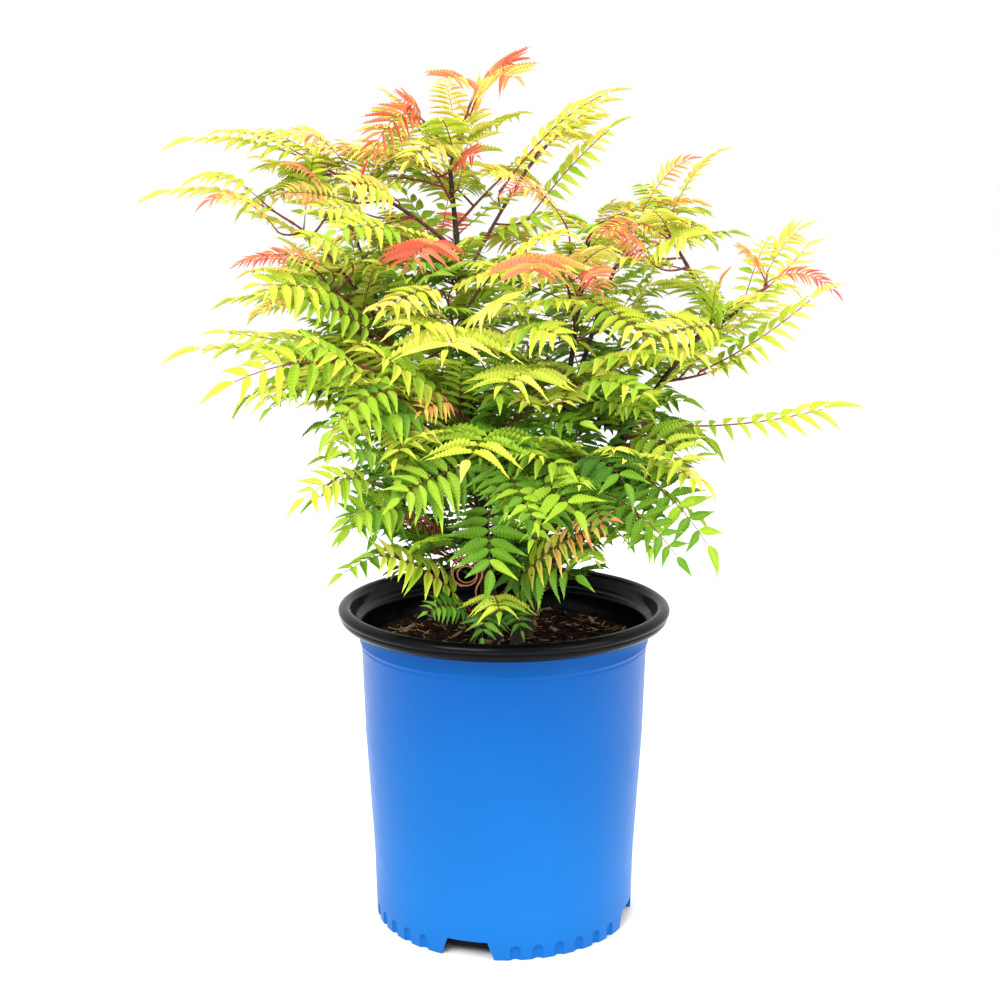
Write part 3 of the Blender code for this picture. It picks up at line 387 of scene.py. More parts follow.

# The leaves that lead the crown's front: where the rib starts and ends, each across
# and down the view in thousandths and how deep in millimetres; its lift and its longest leaflet in
# millimetres; how far the blade leans to the front in degrees; and the tones at its two ends
LEADING_LEAVES = (
    ((300, 155, -30), (222, 132, -50), 4, 17, 10, 4.6, 3.8),
    ((345, 165, -20), (290, 134, -40), 7, 15, 35, 4.4, 5.2),
    ((332, 198, -30), (286, 165, -50), 5, 14, 25, 5.5, 7.0),
    ((348, 202, -30), (282, 192, -60), 2, 14, 60, 4.6, 5.6),
    ((262, 201, -30), (200, 178, -40), 6, 19, 15, 3.0, 3.8),
    ((278, 232, -40), (208, 200.2, -60), 10, 17, 20, 3.8, 6.6),
    ((332, 272, -60), (258, 257, -80), 5, 13, 40, 5.0, 8.0),
    ((300, 262, -70), (238, 264, -90), 3, 12, 30, 7.2, 7.8),
    ((344, 298, -50), (258, 286, -100), 3, 28, 35, 2.2, 3.0),
    ((382, 340, -50), (284, 296, -90), 6, 22, 50, 1.8, 2.4),
    ((352, 358, -40), (224, 333, -60), 2, 22, 20, 2.2, 3.6),
    ((368, 369, -80), (228, 385, -120), 8, 30, 40, 2.2, 3.2),
    ((372, 385, -100), (298, 336, -120), 3, 20, 30, 2.2, 2.8),
    ((400, 392, -100), (330, 434, -130), 8, 25, 20, 1.6, 2.4),
    ((388, 468, -100), (342, 452, -130), 6, 20, 35, 1.0, 1.6),
    ((470, 338, -70), (402, 328, -115), 4, 34, 10, 3.2, 3.8),
    ((462, 334, -65), (446, 352, -135), 3, 47, 0, 3.4, 4.0),
    ((545, 372, -65), (500, 388, -135), 3, 40, 5, 3.0, 3.8),
    ((452, 404, -80), (420, 412, -110), 3, 16, 40, 5.0, 5.4),
    ((446, 402, -80), (372, 352, -130), 2, 27, 40, 2.4, 3.0),
    ((502, 430, -65), (466, 462, -137), 5, 48, 5, 1.2, 3.6),
    ((480, 466, -80), (396, 500, -130), 5, 27, 45, 1.4, 1.8),
    ((464, 474, -70), (402, 494, -120), 4, 35, 40, 0.8, 1.6),
    ((376, 484.2, -90), (302, 500, -120), 8, 24, 30, 2.0, 3.2),
    ((410, 514, -80), (346, 520, -110), 6, 24, 45, 1.2, 2.0),
    ((505, 590, -40), (578, 578, -90), 10, 29, 55, 0.4, 0.9),
    ((596, 492, -70), (680, 560, -120), 8, 24, 45, 0.4, 1.3),
    ((626, 474, -50), (710, 550, -90), 10, 26, 35, 1.0, 2.0),
    ((580, 462, -80), (626, 486, -120), 8, 31, 20, 0.2, 0.8),
    ((518, 470, -80), (576, 514, -135), 4, 36, 20, 1.4, 2.0),
    ((488, 498, -75), (490, 572, -100), 0, 32, 0, 0.5, 1.4),
    ((512, 520, -30), (522, 585, -50), 0, 29, 0, 0.0, 0.6),
    ((630, 438, -30), (692, 473, -80), 8, 31, 35, 1.8, 3.2),
    ((640, 440, -10), (694, 434, -10), 5, 22, 15, 1.8, 2.0),
    ((560, 376, -60), (660, 356, -100), 4, 27, 10, 2.0, 2.8),
    ((580, 385, -80), (645, 394, -110), 4, 22, 15, 2.2, 2.8),
    ((590, 404, -50), (645, 412, -70), 3, 19, 15, 1.8, 2.2),
    ((478, 88, 0), (512, 62, -20), 2, 32, 35, 7.0, 8.2),
    ((477, 90, -10), (442, 80, -50), 4, 24, 25, 6.6, 5.6),
    ((479, 86, -10), (516, 78, -50), 3, 30, 30, 5.2, 6.2),
    ((457, 190, -10), (474, 112, 0), 0, 34, 75, 3.8, 4.6),
    ((425, 123, -10), (366, 165, -50), 16, 24, 35, 6.8, 7.4),
    ((424, 124, -10), (402, 100.2, -30), 3, 18, 60, 6.6, 7.2),
    ((456, 150, -20), (408, 163, -60), 6, 22, 20, 3.8, 4.2),
    ((452, 170, -20), (476, 156, -50), 3, 17, 50, 7.2, 7.8),
    ((500, 192.2, 0), (612, 92, -20), 10, 21, 35, 3.6, 4.2),
    ((520, 180, 20), (600, 104, 20), 6, 19, 40, 3.6, 4.0),
    ((527, 222, 20), (612, 126, 0), 4, 22, 45, 3.0, 3.4),
    ((566, 226, -20), (504, 193, -50), 12, 12, 50, 4.6, 7.4),
    ((515, 178.2, -10), (486, 172, -30), 3, 16, 25, 4.0, 4.2),
    ((485, 240, 0), (566, 216, -10), 5, 20, 20, 2.4, 2.8),
    ((642, 212, -10), (688, 160, -20), 6, 15, 55, 4.2, 6.4),
    ((668, 238, -30), (594, 236, -70), 8, 15, 30, 5.0, 8.0),
    ((652, 264, -50), (616, 238, -70), 3, 15, 65, 6.4, 7.4),
    ((710, 326, -30), (716, 286, -70), 0, 22, 60, 2.2, 2.8),
    ((655, 258, -40), (688, 240, -60), 4, 31, 20, 3.8, 4.2),
    ((768, 272, -10), (797, 232, -20), 3, 22, 50, 4.0, 4.8),
    ((760, 270, -20), (742, 252, -50), 3, 16, 40, 5.6, 6.4),
    ((764, 284, -30), (834, 291, -50), 9, 15, 30, 6.2, 7.8),
    ((700, 372, -30), (815, 296, -50), -4, 27, 30, 2.6, 3.6),
    ((722, 328, -50), (650, 342, -100), 4, 24, 35, 3.0, 3.6),
    ((442, 242, -60), (408, 264, -125), 3, 38, 5, 7.0, 8.4),
    ((548, 256, -60), (528, 276, -125), 3, 40, 0, 5.2, 7.2),
    ((586, 272, -80), (602, 292.2, -120), 5, 18, 20, 6.8, 7.6),
    ((500, 264, -60), (568, 236, -90), 5, 22, 20, 3.2, 4.0),
    ((398, 202, -30), (342, 186, -70), 5, 20, 45, 3.8, 4.2),
    ((372, 216, -30), (312, 210, -60), 3, 22, 30, 3.4, 3.8),
    ((404, 238, -50), (334, 232, -90), 5, 22, 30, 2.4, 2.8),
    ((352, 264, -50), (304, 236, -80), 4, 20, 35, 3.0, 3.6),
    ((440, 290, -70), (385, 312, -110), 4, 25, 15, 3.2, 3.6),
    ((450, 292, -60), (520, 276, -100), 5, 22, 15, 3.2, 3.6),
    ((470, 325, -90), (508, 302, -130), 3, 25, 30, 3.4, 3.8),
    ((505, 335, -90), (562, 338, -120), 4, 25, 15, 2.4, 3.0),
    ((424, 420, -90), (364, 426, -120), 6, 27, 25, 1.2, 2.0),
    ((470, 612, -40), (372, 556, -90), 10, 27, 45, 2.6, 3.0),
    ((498, 600, -30), (612, 520, -120), 8, 24, 60, 2.6, 7.0),
    ((462, 562, -20), (398, 521, -70), 10, 12, 50, 6.4, 7.0),
    ((472, 618, -55), (426, 612, -88), 6, 15, 45, 0.2, 0.6),
    ((488, 620, -60), (482, 640, -90), 8, 17, 0, 0.2, 0.6),
    ((505, 612, -50), (522, 632, -80), 6, 15, 10, 0.0, 0.3),
    ((494, 597, -45), (499, 613, -85), 3, 27, 0, 2.6, 3.0),
)

# Where the crown is open from the front: across and down the view in thousandths, and how wide
OPEN_PLACES = (
    (760, 380, 30), (700, 402, 14), (735, 397, 16), (830, 348, 30), (760, 470, 30), (730, 510, 20),
    (800, 520, 50), (745, 562, 12), (640, 160, 14), (612, 182, 20), (595, 202, 8), (740, 205, 28),
    (712, 222, 10), (720, 260, 12), (755, 225, 12), (560, 90, 18), (545, 142, 7), (340, 110, 16),
    (225, 157, 14), (190, 165, 14), (255, 152, 6), (235, 225, 14), (215, 237, 14), (190, 235, 20),
    (290, 212, 10), (270, 180, 6), (225, 316, 14), (195, 312, 12), (265, 315, 5), (290, 427, 24),
    (328, 405, 9), (255, 440, 25), (308, 470, 16), (375, 448, 7), (440, 425, 7), (345, 205, 5),
    (420, 195, 7), (470, 198, 9), (510, 205, 6), (665, 304, 12), (690, 498, 9), (610, 432, 8),
    (150, 270, 60), (560, 50, 25), (600, 60, 25), (420, 60, 20), (380, 80, 14), (250, 560, 60),
    (880, 250, 40), (700, 130, 12), (590, 175, 8), (470, 60, 10), (270, 110, 20), (512, 150, 14),
    (545, 120, 14), (490, 190, 6), (590, 580, 10), (613, 552, 8), (672, 592, 20), (712, 505, 18),
    (222, 257, 16), (174, 290, 22), (310, 320, 10), (163, 362, 13), (325, 317, 8), (645, 500, 10),
    (480, 300, 4), (540, 345, 5), (398, 205, 5), (320, 232, 5), (575, 195, 12), (560, 420, 5),
)

# A shoot's leaf tones, from its foot to its tip: 0 is deep green, 2 lime, 4 yellow, 6 orange, 8 coral
TONES = {
    "coral": (2.5, 8.1),
    "orange": (2.5, 6.2),
    "yellow": (2.4, 4.2),
    "lime": (1.4, 3.3),
    "green": (0.4, 1.9),
}
TONE_RISE = 3.0
SIDE_SHOOT_RIPEST = 4.0
FRONT_RIPEST = 4.4
BACK_START = 0.05
END_LEAF_SIZES = (1, 0.7, 0.45, 0.3)

# How many leaves a shoot of each tint carries, as a multiple of the leaf density
FULLNESS = {"coral": 0.4, "orange": 0.4, "yellow": 0.4, "lime": 0.75, "green": 1.35}
FULL_TINTS = ("lime", "green")

# Masses whose end leaf is slim with its leaflets growing to its tip, and their longest leaflet
SLIM_LEAVES = {"foliage_right_arm": 0.028}
SLIM_LEAF_ROLL = 0.35

# A tone's piece, its colour, and the record's slot
TINTS = (
    ("leaves_deep_green", "#447614", "leaf_green"),
    ("leaves_green", "#68961C", "leaf_green"),
    ("leaves_lime", "#9CBC2C", "leaf_lime"),
    ("leaves_chartreuse", "#C2CE40", "leaf_lime"),
    ("leaves_yellow", "#E0D860", "leaf_yellow"),
    ("leaves_gold", "#EACA6C", "leaf_yellow"),
    ("leaves_orange", "#E6A65E", "leaf_orange"),
    ("leaves_salmon", "#E08862", "leaf_coral"),
    ("leaves_coral", "#D2644C", "leaf_coral"),
)

# Leaflets: their teeth, outline and folds, as shares of a leaflet's length or width
LEAFLET_TEETH = 10
LEAFLET_TOOTH_START = 0.05
LEAFLET_TOOTH_SPAN = 0.74
TOOTH_POINT = 1.02
TOOTH_NOTCH = 0.35
TOOTH_REACH = 1.07
NOTCH_REACH = 0.92
LEAFLET_WIDEST = 0.35
LEAFLET_FOOT_ROUNDNESS = 0.65
LEAFLET_TIP_TAPER = 1.3
LEAFLET_TIP_FULLNESS = 0.45
LEAFLET_FOLD = 0.20
LEAFLET_PLEAT = 0.040
LEAFLET_CURL = 2.1
LEAFLET_STOUTEST = 0.34
LEAFLET_MIDDLING = 0.024
YOUNG_SLIMNESS = 0.72

# Shapes of leaflet: how far the tip droops and how far it sweeps
LEAFLET_SHAPES = ((0.16, -0.30), (0.26, -0.55), (0.10, 0.15))

# How leaflets stand along a rib: their spacing and size, as shares of the longest
PAIR_SPACING = 0.36
YOUNG_CROWDING = 0.38
FEWEST_PAIRS = 6
MOST_PAIRS = 12
LAST_LEAFLET_PLACE = 0.97
FULLEST_PLACE = 0.4
FIRST_PAIR_SIZE = 0.72
LAST_PAIR_LOSS = 0.52
PAIR_SIZE_CURVE = 1.3
SLIM_FIRST_PAIR_SIZE = 0.42
END_LEAFLET_SIZE = 1.1
END_LEAFLET_SHORTENING = 0.72

# How leaflets open from the rib, in degrees, and sag, lie level and twist
LEAFLET_OPENING = 80
OPENING_LOSS_ALONG = 32
OPENING_LOSS_YOUNG = 26
OPENING_GAIN_AHEAD = 16
OPENING_SCATTER = 6
SAG_RANGE = (-0.05, 0.2)
END_SAG = 0.1
SAG_SCATTER = (0.7, 1.3)
YOUNG_LEVELLING = 1.5
MOST_LEVELLING = 0.8
TWIST_SCATTER = 0.3
TWIST_OUTWARD = 0.12
LEAF_SIZE_SCATTER = (0.92, 1.08)
LENGTH_SCATTER = (0.9, 1.08)
WIDTH_SCATTER = (0.88, 1.12)
TINT_SCATTER = 0.45
YOUNG_TINT_SCATTER = 0.9

# Dried tendril that lies coiled over the mix: where it starts, its coil's centre, and its size
TENDRIL_FOOT = (-0.009, -0.040, 0.222)
TENDRIL_COIL = (-0.0245, -0.052, 0.2515)
TENDRIL_RADIUS = 0.0088
TENDRIL_TURNS = 2.8
TENDRIL_START_TURN = 0.1
TENDRIL_STEPS = 90
TENDRIL_GIRTH = 0.0006
TENDRIL_UNEVENNESS = 0.22
TENDRIL_NARROWING = 0.25
TENDRIL_SWAY = 0.0035
TENDRIL_RISE_STEPS = 12
TENDRIL_RISE_BEND = 0.012

# Camera, and how a place in its view is counted: in thousandths, with the pot's axis at its column
CAMERA_PLACE = (-0.0027, -1.1162, 0.5087)
CAMERA_LENS = 60.91
CAMERA_SENSOR = 36
CAMERA_TILT = math.radians(11.096)
CAMERA_PITCH = math.radians(90) - CAMERA_TILT
CAMERA_FARTHEST = 200
EYE_TURN = Matrix.Rotation(-CAMERA_PITCH, 3, "X")
VIEW_CENTRE = (500, 500)
VIEW_SCALE = 1000 * CAMERA_LENS / CAMERA_SENSOR
POT_COLUMN = 504

# Studio lights: place, size and share of the key light's power
LIGHTS = {
    "key": ((-0.9, -1.5, 1.7), 1.2, 1),
    "fill": ((1.5, -1.0, 1.0), 1.2, 0.35),
    "top": ((0.1, 0.5, 1.9), 1.0, 0.5),
}
LIGHTS_AIM = (0, 0, 0.3)
FLOOR_REACH = 60
SKY_STRENGTH = 1.06


# Settings that a user would change
class SpireaPotSettings(bpy.types.PropertyGroup):
    wall_colour: FloatVectorProperty(
        name="Wall colour", description="The pot's outer colour", subtype="COLOR", size=4,
        min=0, max=1, default=linear("#004E98"),
    )
    # Painted bounce light: a paler blue for the wall's foot, standing in for light thrown up from the
    # floor
    foot_bounce_colour: FloatVectorProperty(
        name="Foot colour", description="The wall's colour where it has faded at its foot",
        subtype="COLOR", size=4, min=0, max=1, default=linear("#1268B4"),
    )
    lining_colour: FloatVectorProperty(
        name="Lining colour", description="Colour of the lip and the inside", subtype="COLOR",
        size=4, min=0, max=1, default=linear("#030306"),
    )
    roughness: FloatProperty(
        name="Roughness", description="How dull the moulded wall is", default=0.34, min=0, max=1,
        subtype="FACTOR",
    )


class SpireaMixSettings(bpy.types.PropertyGroup):
    dark_chips: FloatProperty(
        name="Dark chips", description="Dark bark chips to a square metre", default=42000, min=0,
    )
    pale_chips: FloatProperty(
        name="Pale chips", description="Pale bark chips to a square metre", default=4500, min=0,
    )
    straws: FloatProperty(
        name="Straws", description="Straw-coloured slivers to a square metre", default=11000, min=0,
    )


class SpireaLimbSettings(bpy.types.PropertyGroup):
    sides: IntProperty(
        name="Sides", description="Sides of a stem's tube", default=12, min=6, max=24,
    )
    relief: FloatProperty(
        name="Bark relief", description="Height of the bark's ridges", default=0.00035,
        subtype="DISTANCE", min=0, max=0.002, precision=5,
    )


class SpireaLeafSettings(bpy.types.PropertyGroup):
    density: FloatProperty(
        name="Leaf density", description="Leaves on a shoot, as a multiple of the solid part's",
        default=2.0, min=0.5, max=4,
    )
    leaflet_width: FloatProperty(
        name="Leaflet width", description="Width of a grown leaflet", default=0.0068,
        min=0.003, max=0.015, subtype="DISTANCE", unit="LENGTH", precision=4,
    )
    roughness: FloatProperty(
        name="Leaf roughness", description="How dull the leaves are", default=0.5, min=0, max=1,
        subtype="FACTOR",
    )


class SpireaStageSettings(bpy.types.PropertyGroup):
    floor_colour: FloatVectorProperty(
        name="Floor colour", description="Colour of the studio sweep", subtype="COLOR", size=4,
        min=0, max=1, default=linear("#F8F8F8"),
    )
    key_power: FloatProperty(
        name="Key light", description="Power of the large front light", default=48, min=0,
        subtype="POWER", unit="POWER",
    )


# Nodes, meshes and pieces
def add_node(tree, kind, sockets=None, **settings):
    """Adds a node with these settings. A socket given another node's socket is linked to it."""
    node = tree.nodes.new(kind)
    for name, value in settings.items():
        setattr(node, name, value)
    for name, value in (sockets or {}).items():
        if isinstance(value, bpy.types.NodeSocket):
            tree.links.new(value, node.inputs[name])
        else:
            node.inputs[name].default_value = value
    return node


def new_material(name, colour, roughness, gloss=0.5):
    """A material with one Principled shader, and its tree and shader for adding detail."""
    material = bpy.data.materials.new(name)
    material.use_nodes = True
    tree = material.node_tree
    shader = tree.nodes["Principled BSDF"]
    shader.inputs["Base Color"].default_value = colour
    shader.inputs["Roughness"].default_value = roughness
    shader.inputs["Specular IOR Level"].default_value = gloss
    return material, tree, shader


def pattern_scale(millimetres):
    """The scale of a pattern whose features are this many millimetres across."""
    return 1000 / millimetres


def new_geometry_tree(name, inputs):
    """A Geometry Nodes tree with these named inputs, and its input node."""
    tree = bpy.data.node_groups.new(name, "GeometryNodeTree")
    tree.interface.new_socket("Geometry", in_out="INPUT", socket_type="NodeSocketGeometry")
    for label, kind in inputs.items():
        tree.interface.new_socket(label, in_out="INPUT", socket_type=kind)
    tree.interface.new_socket("Geometry", in_out="OUTPUT", socket_type="NodeSocketGeometry")
    return tree, tree.nodes.new("NodeGroupInput").outputs


def finish_tree(tree, geometry, material):
    """Ends the tree with its copies made real and given their material."""
    real = add_node(tree, "GeometryNodeRealizeInstances", {"Geometry": geometry})
    painted = add_node(
        tree, "GeometryNodeSetMaterial",
        {"Geometry": real.outputs["Geometry"], "Material": material},
    )
    add_node(tree, "NodeGroupOutput", {"Geometry": painted.outputs["Geometry"]})
    return tree


def grown_mesh(mesh, tree, name, values):
    """The plain mesh that the tree makes of this mesh with these values of its inputs."""
    source = bpy.data.objects.new(name, mesh)
    bpy.context.scene.collection.objects.link(source)
    modifier = source.modifiers.new("grow", "NODES")
    modifier.node_group = tree
    for socket in tree.interface.items_tree:
        if socket.in_out == "INPUT" and socket.name in values:
            modifier[socket.identifier] = values[socket.name]
    grown = applied_mesh(source, name)
    source.modifiers.remove(modifier)
    bpy.data.objects.remove(source)
    for attribute in list(grown.attributes):
        if attribute.name in ("girth", "turn", "size", "kind"):
            grown.attributes.remove(attribute)
    return grown


def applied_mesh(obj, name):
    """A mesh of the object as its modifiers leave it."""
    bpy.context.view_layer.update()
    graph = bpy.context.evaluated_depsgraph_get()
    mesh = bpy.data.meshes.new_from_object(obj.evaluated_get(graph))
    mesh.name = name
    return mesh


def add_piece(name, mesh, slot, replaced=()):
    """A finished piece of the plant or its pot, which stands for the CAD nodes it replaces."""
    if not mesh.polygons:
        raise RuntimeError(f"{name} has no faces")
    piece = bpy.data.objects.new(name, mesh)
    bpy.context.scene.collection.objects.link(piece)
    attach(piece, "root")
    if replaced:
        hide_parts(*replaced)
    return piece


def finished_bmesh(bm, name, material=None):
    """The bmesh as a plain mesh, with its material where it has one."""
    mesh = bpy.data.meshes.new(name)
    bm.to_mesh(mesh)
    bm.free()
    if material:
        mesh.materials.append(material)
    return mesh


# Pot
def turned_shell(name, section):
    """A closed shell of revolution from a closed section, at the size that the frame's pot has."""
    wide = POT_RIM_RADIUS / DRAWN_RIM_RADIUS
    high = POT_HEIGHT / DRAWN_HEIGHT
    bm = bmesh.new()
    corners = [bm.verts.new((radius * wide, 0, height * high)) for radius, height in section]
    for lower, upper in zip(corners, corners[1:]):
        bm.edges.new((lower, upper))
    if section[0][0] > 0:
        bm.edges.new((corners[-1], corners[0]))
    profile = bpy.data.objects.new(name, finished_bmesh(bm, name))
    bpy.context.scene.collection.objects.link(profile)
    screw = profile.modifiers.new("turn", "SCREW")
    screw.steps = POT_SIDES
    screw.render_steps = POT_SIDES
    screw.use_merge_vertices = True
    screw.merge_threshold = SEAM_MERGE
    mesh = applied_mesh(profile, name)
    bpy.data.objects.remove(profile)
    bm = bmesh.new()
    bm.from_mesh(mesh)
    bmesh.ops.remove_doubles(bm, verts=bm.verts, dist=SEAM_MERGE)
    bmesh.ops.recalc_face_normals(bm, faces=bm.faces)
    bm.to_mesh(mesh)
    bm.free()
    return mesh


def foot_cutters():
    """Blocks for the drain notches and long beads for the flutes, joined as one cutter."""
    bm = bmesh.new()
    slant = (NOTCH_FOOT_WIDTH - NOTCH_TOP_WIDTH) / 2 / NOTCH_HEIGHT
    foot_half = NOTCH_FOOT_WIDTH / 2 + slant * CUTTER_DROP
    for quarter in range(NOTCH_COUNT):
        notch_angle = NOTCH_FIRST_ANGLE + quarter * math.tau / NOTCH_COUNT
        turn = Matrix.Rotation(notch_angle, 4, "Z")
        block = bmesh.ops.create_cube(bm, size=1)["verts"]
        for corner in block:
            top = corner.co.z > 0
            half = NOTCH_TOP_WIDTH / 2 if top else foot_half
            corner.co.x = POT_FOOT_RADIUS + math.copysign(NOTCH_CUTTER_REACH, corner.co.x)
            corner.co.y = math.copysign(half, corner.co.y)
            corner.co.z = NOTCH_HEIGHT if top else -CUTTER_DROP
            corner.co = turn @ corner.co
        for index in range(FLUTES_PER_QUARTER):
            angle = notch_angle + FLUTE_FIRST_ANGLE + index * FLUTE_STEP_ANGLE
            offset = POT_FOOT_RADIUS + FLUTE_RADIUS - FLUTE_DEPTH
            bead = bmesh.ops.create_uvsphere(
                bm, u_segments=FLUTE_SEGMENTS, v_segments=FLUTE_RINGS, radius=FLUTE_RADIUS
            )["verts"]
            shape = Matrix.Rotation(angle, 4, "Z") @ Matrix.Translation((offset, 0, 0))
            for corner in bead:
                corner.co.z += FLUTE_SHOULDER if corner.co.z > -SEAM_MERGE else -CUTTER_DROP
                corner.co = shape @ corner.co
    cutter = bpy.data.objects.new("foot_cutters", finished_bmesh(bm, "foot_cutters"))
    bpy.context.scene.collection.objects.link(cutter)
    return cutter


def cut_shell(mesh, cutter, material):
    """The shell with the cutter taken out of it, given its material, its sharp edges marked."""
    shell = bpy.data.objects.new(mesh.name, mesh)
    bpy.context.scene.collection.objects.link(shell)
    cut = shell.modifiers.new("notches_and_flutes", "BOOLEAN")
    cut.operation = "DIFFERENCE"
    cut.object = cutter
    cut.solver = "EXACT"
    result = applied_mesh(shell, mesh.name)
    bpy.data.objects.remove(shell)
    result.materials.clear()
    result.materials.append(material)
    result.shade_smooth()
    result.set_sharp_from_angle(angle=SHARP_ANGLE)
    return result


def wall_material(settings):
    """Moulded polypropylene, satin: blue, paler toward the foot with painted bounce light from the floor,
    faintly cloudy, a fine orange peel.
    """
    material, tree, shader = new_material(
        "moulded_polypropylene_blue", settings.wall_colour, settings.roughness, gloss=0.1
    )
    place = add_node(tree, "ShaderNodeTexCoord").outputs["Object"]
    height = add_node(tree, "ShaderNodeSeparateXYZ", {"Vector": place})
    # Painted bounce light: the blue turns paler toward the foot, as if lit from the floor below
    top, foot = WALL_BOUNCE_LIGHT_HEIGHTS
    bounce_share = add_node(
        tree, "ShaderNodeMapRange",
        {"Value": height.outputs["Z"], "From Min": top, "From Max": foot, "To Max": 1.0},
    )
    bounce_lit_colour = add_node(
        tree, "ShaderNodeMix", {"Factor": bounce_share.outputs["Result"]}, data_type="RGBA"
    )
    bounce_lit_colour.inputs[6].default_value = settings.wall_colour
    bounce_lit_colour.inputs[7].default_value = settings.foot_bounce_colour
    cloud = add_node(
        tree, "ShaderNodeTexNoise",
        {"Vector": place, "Scale": pattern_scale(WALL_CLOUD_SIZE), "Detail": 2},
    )
    shade = add_node(
        tree, "ShaderNodeMapRange", {"Value": cloud.outputs["Fac"], "To Min": 0.93, "To Max": 1.06}
    )
    tinted = add_node(
        tree, "ShaderNodeVectorMath",
        {0: bounce_lit_colour.outputs[2], "Scale": shade.outputs["Result"]}, operation="SCALE",
    )
    tree.links.new(tinted.outputs["Vector"], shader.inputs["Base Color"])
    scuffs = add_node(
        tree, "ShaderNodeTexNoise",
        {"Vector": place, "Scale": pattern_scale(WALL_SCUFF_SIZE), "Detail": 4},
    )
    dullness = add_node(
        tree, "ShaderNodeMapRange",
        {"Value": scuffs.outputs["Fac"], "To Min": settings.roughness - WALL_POLISH,
         "To Max": settings.roughness + WALL_DULLING},
    )
    tree.links.new(dullness.outputs["Result"], shader.inputs["Roughness"])
    peel = add_node(
        tree, "ShaderNodeTexNoise",
        {"Vector": place, "Scale": pattern_scale(WALL_PEEL_SIZE), "Detail": 1},
    )
    bump = add_node(
        tree, "ShaderNodeBump",
        {"Height": peel.outputs["Fac"], "Strength": 0.12, "Distance": 0.0003},
    )
    tree.links.new(bump.outputs["Normal"], shader.inputs["Normal"])
    return material


def lining_material(settings):
    """Moulded polypropylene, black: a soft gloss on the lip, dulled by dust and scuffs."""
    material, tree, shader = new_material(
        "moulded_polypropylene_black", settings.lining_colour, roughness=0.3, gloss=0.1
    )
    place = add_node(tree, "ShaderNodeTexCoord").outputs["Object"]
    scuffs = add_node(
        tree, "ShaderNodeTexNoise",
        {"Vector": place, "Scale": pattern_scale(LINING_SCUFF_SIZE), "Detail": 5, "Roughness": 0.65},
    )
    dullness = add_node(
        tree, "ShaderNodeMapRange",
        {"Value": scuffs.outputs["Fac"], "From Min": 0.3, "From Max": 0.7, "To Min": 0.14,
         "To Max": 0.30},
    )
    tree.links.new(dullness.outputs["Result"], shader.inputs["Roughness"])
    bump = add_node(
        tree, "ShaderNodeBump",
        {"Height": scuffs.outputs["Fac"], "Strength": 0.15, "Distance": 0.0004},
    )
    tree.links.new(bump.outputs["Normal"], shader.inputs["Normal"])
    return material


class SPIREA_OT_build_pot(bpy.types.Operator):
    """Builds the pot's blue wall and its black lining with the rolled lip"""

    bl_idname = "spirea.build_pot"
    bl_label = "Build Pot"

    def execute(self, context):
        settings = context.scene.spirea_pot
        cutter = foot_cutters()
        wall = cut_shell(
            turned_shell("pot_wall", WALL_SECTION), cutter, wall_material(settings)
        )
        lining = cut_shell(
            turned_shell("pot_lining", LINING_SECTION), cutter, lining_material(settings)
        )
        bpy.data.objects.remove(cutter)
        add_piece("pot_wall", wall, "pot", ("pot",))
        add_piece("pot_lining", lining, "pot", ("pot",))
        return {"FINISHED"}


# Potting mix
def mix_height(x, y):
    """The mix's rough top: a coarse, a middling and a fine relief laid over one another."""
    relief = sum(
        noise.noise(Vector((x, y, 0)) * grain) * share for grain, share in SOIL_GRAINS
    )
    return SOIL_HEIGHT + relief * SOIL_RELIEF


def mix_mesh(material):
    """The mix that fills the pot, with a fine relief on top."""
    bm = bmesh.new()
    middle = bm.verts.new((0, 0, mix_height(0, 0)))
    loops = []
    for ring in range(1, SOIL_RINGS + 1):
        radius = SOIL_RIM * ring / SOIL_RINGS
        loop = []
        for side in range(SOIL_SIDES):
            angle = math.tau * side / SOIL_SIDES
            x, y = radius * math.cos(angle), radius * math.sin(angle)
            loop.append(bm.verts.new((x, y, mix_height(x, y))))
        loops.append(loop)
    for radius, height in SOIL_SKIRT:
        loop = []
        for side in range(SOIL_SIDES):
            angle = math.tau * side / SOIL_SIDES
            loop.append(bm.verts.new((radius * math.cos(angle), radius * math.sin(angle), height)))
        loops.append(loop)
    for side in range(SOIL_SIDES):
        following = (side + 1) % SOIL_SIDES
        bm.faces.new((middle, loops[0][side], loops[0][following]))
        for inner, outer in zip(loops, loops[1:]):
            bm.faces.new((inner[side], outer[side], outer[following], inner[following]))
    bm.faces.new(loops[-1][::-1])
    bmesh.ops.recalc_face_normals(bm, faces=bm.faces)
    mesh = finished_bmesh(bm, "mulch_bed", material)
    mesh.shade_smooth()
    return mesh


def scatter_ground():
    """The part of the mix's top that chips lie on."""
    bm = bmesh.new()
    step = 2 * CHIP_REACH / CHIP_GRID
    grid = {}
    for row in range(CHIP_GRID + 1):
        for column in range(CHIP_GRID + 1):
            x, y = row * step - CHIP_REACH, column * step - CHIP_REACH
            if math.hypot(x, y) <= CHIP_REACH:
                grid[row, column] = bm.verts.new((x, y, mix_height(x, y)))
    for row, column in list(grid):
        corners = [(row, column), (row + 1, column), (row + 1, column + 1), (row, column + 1)]
        if all(corner in grid for corner in corners):
            bm.faces.new([grid[corner] for corner in corners])
    return finished_bmesh(bm, "scatter_ground")


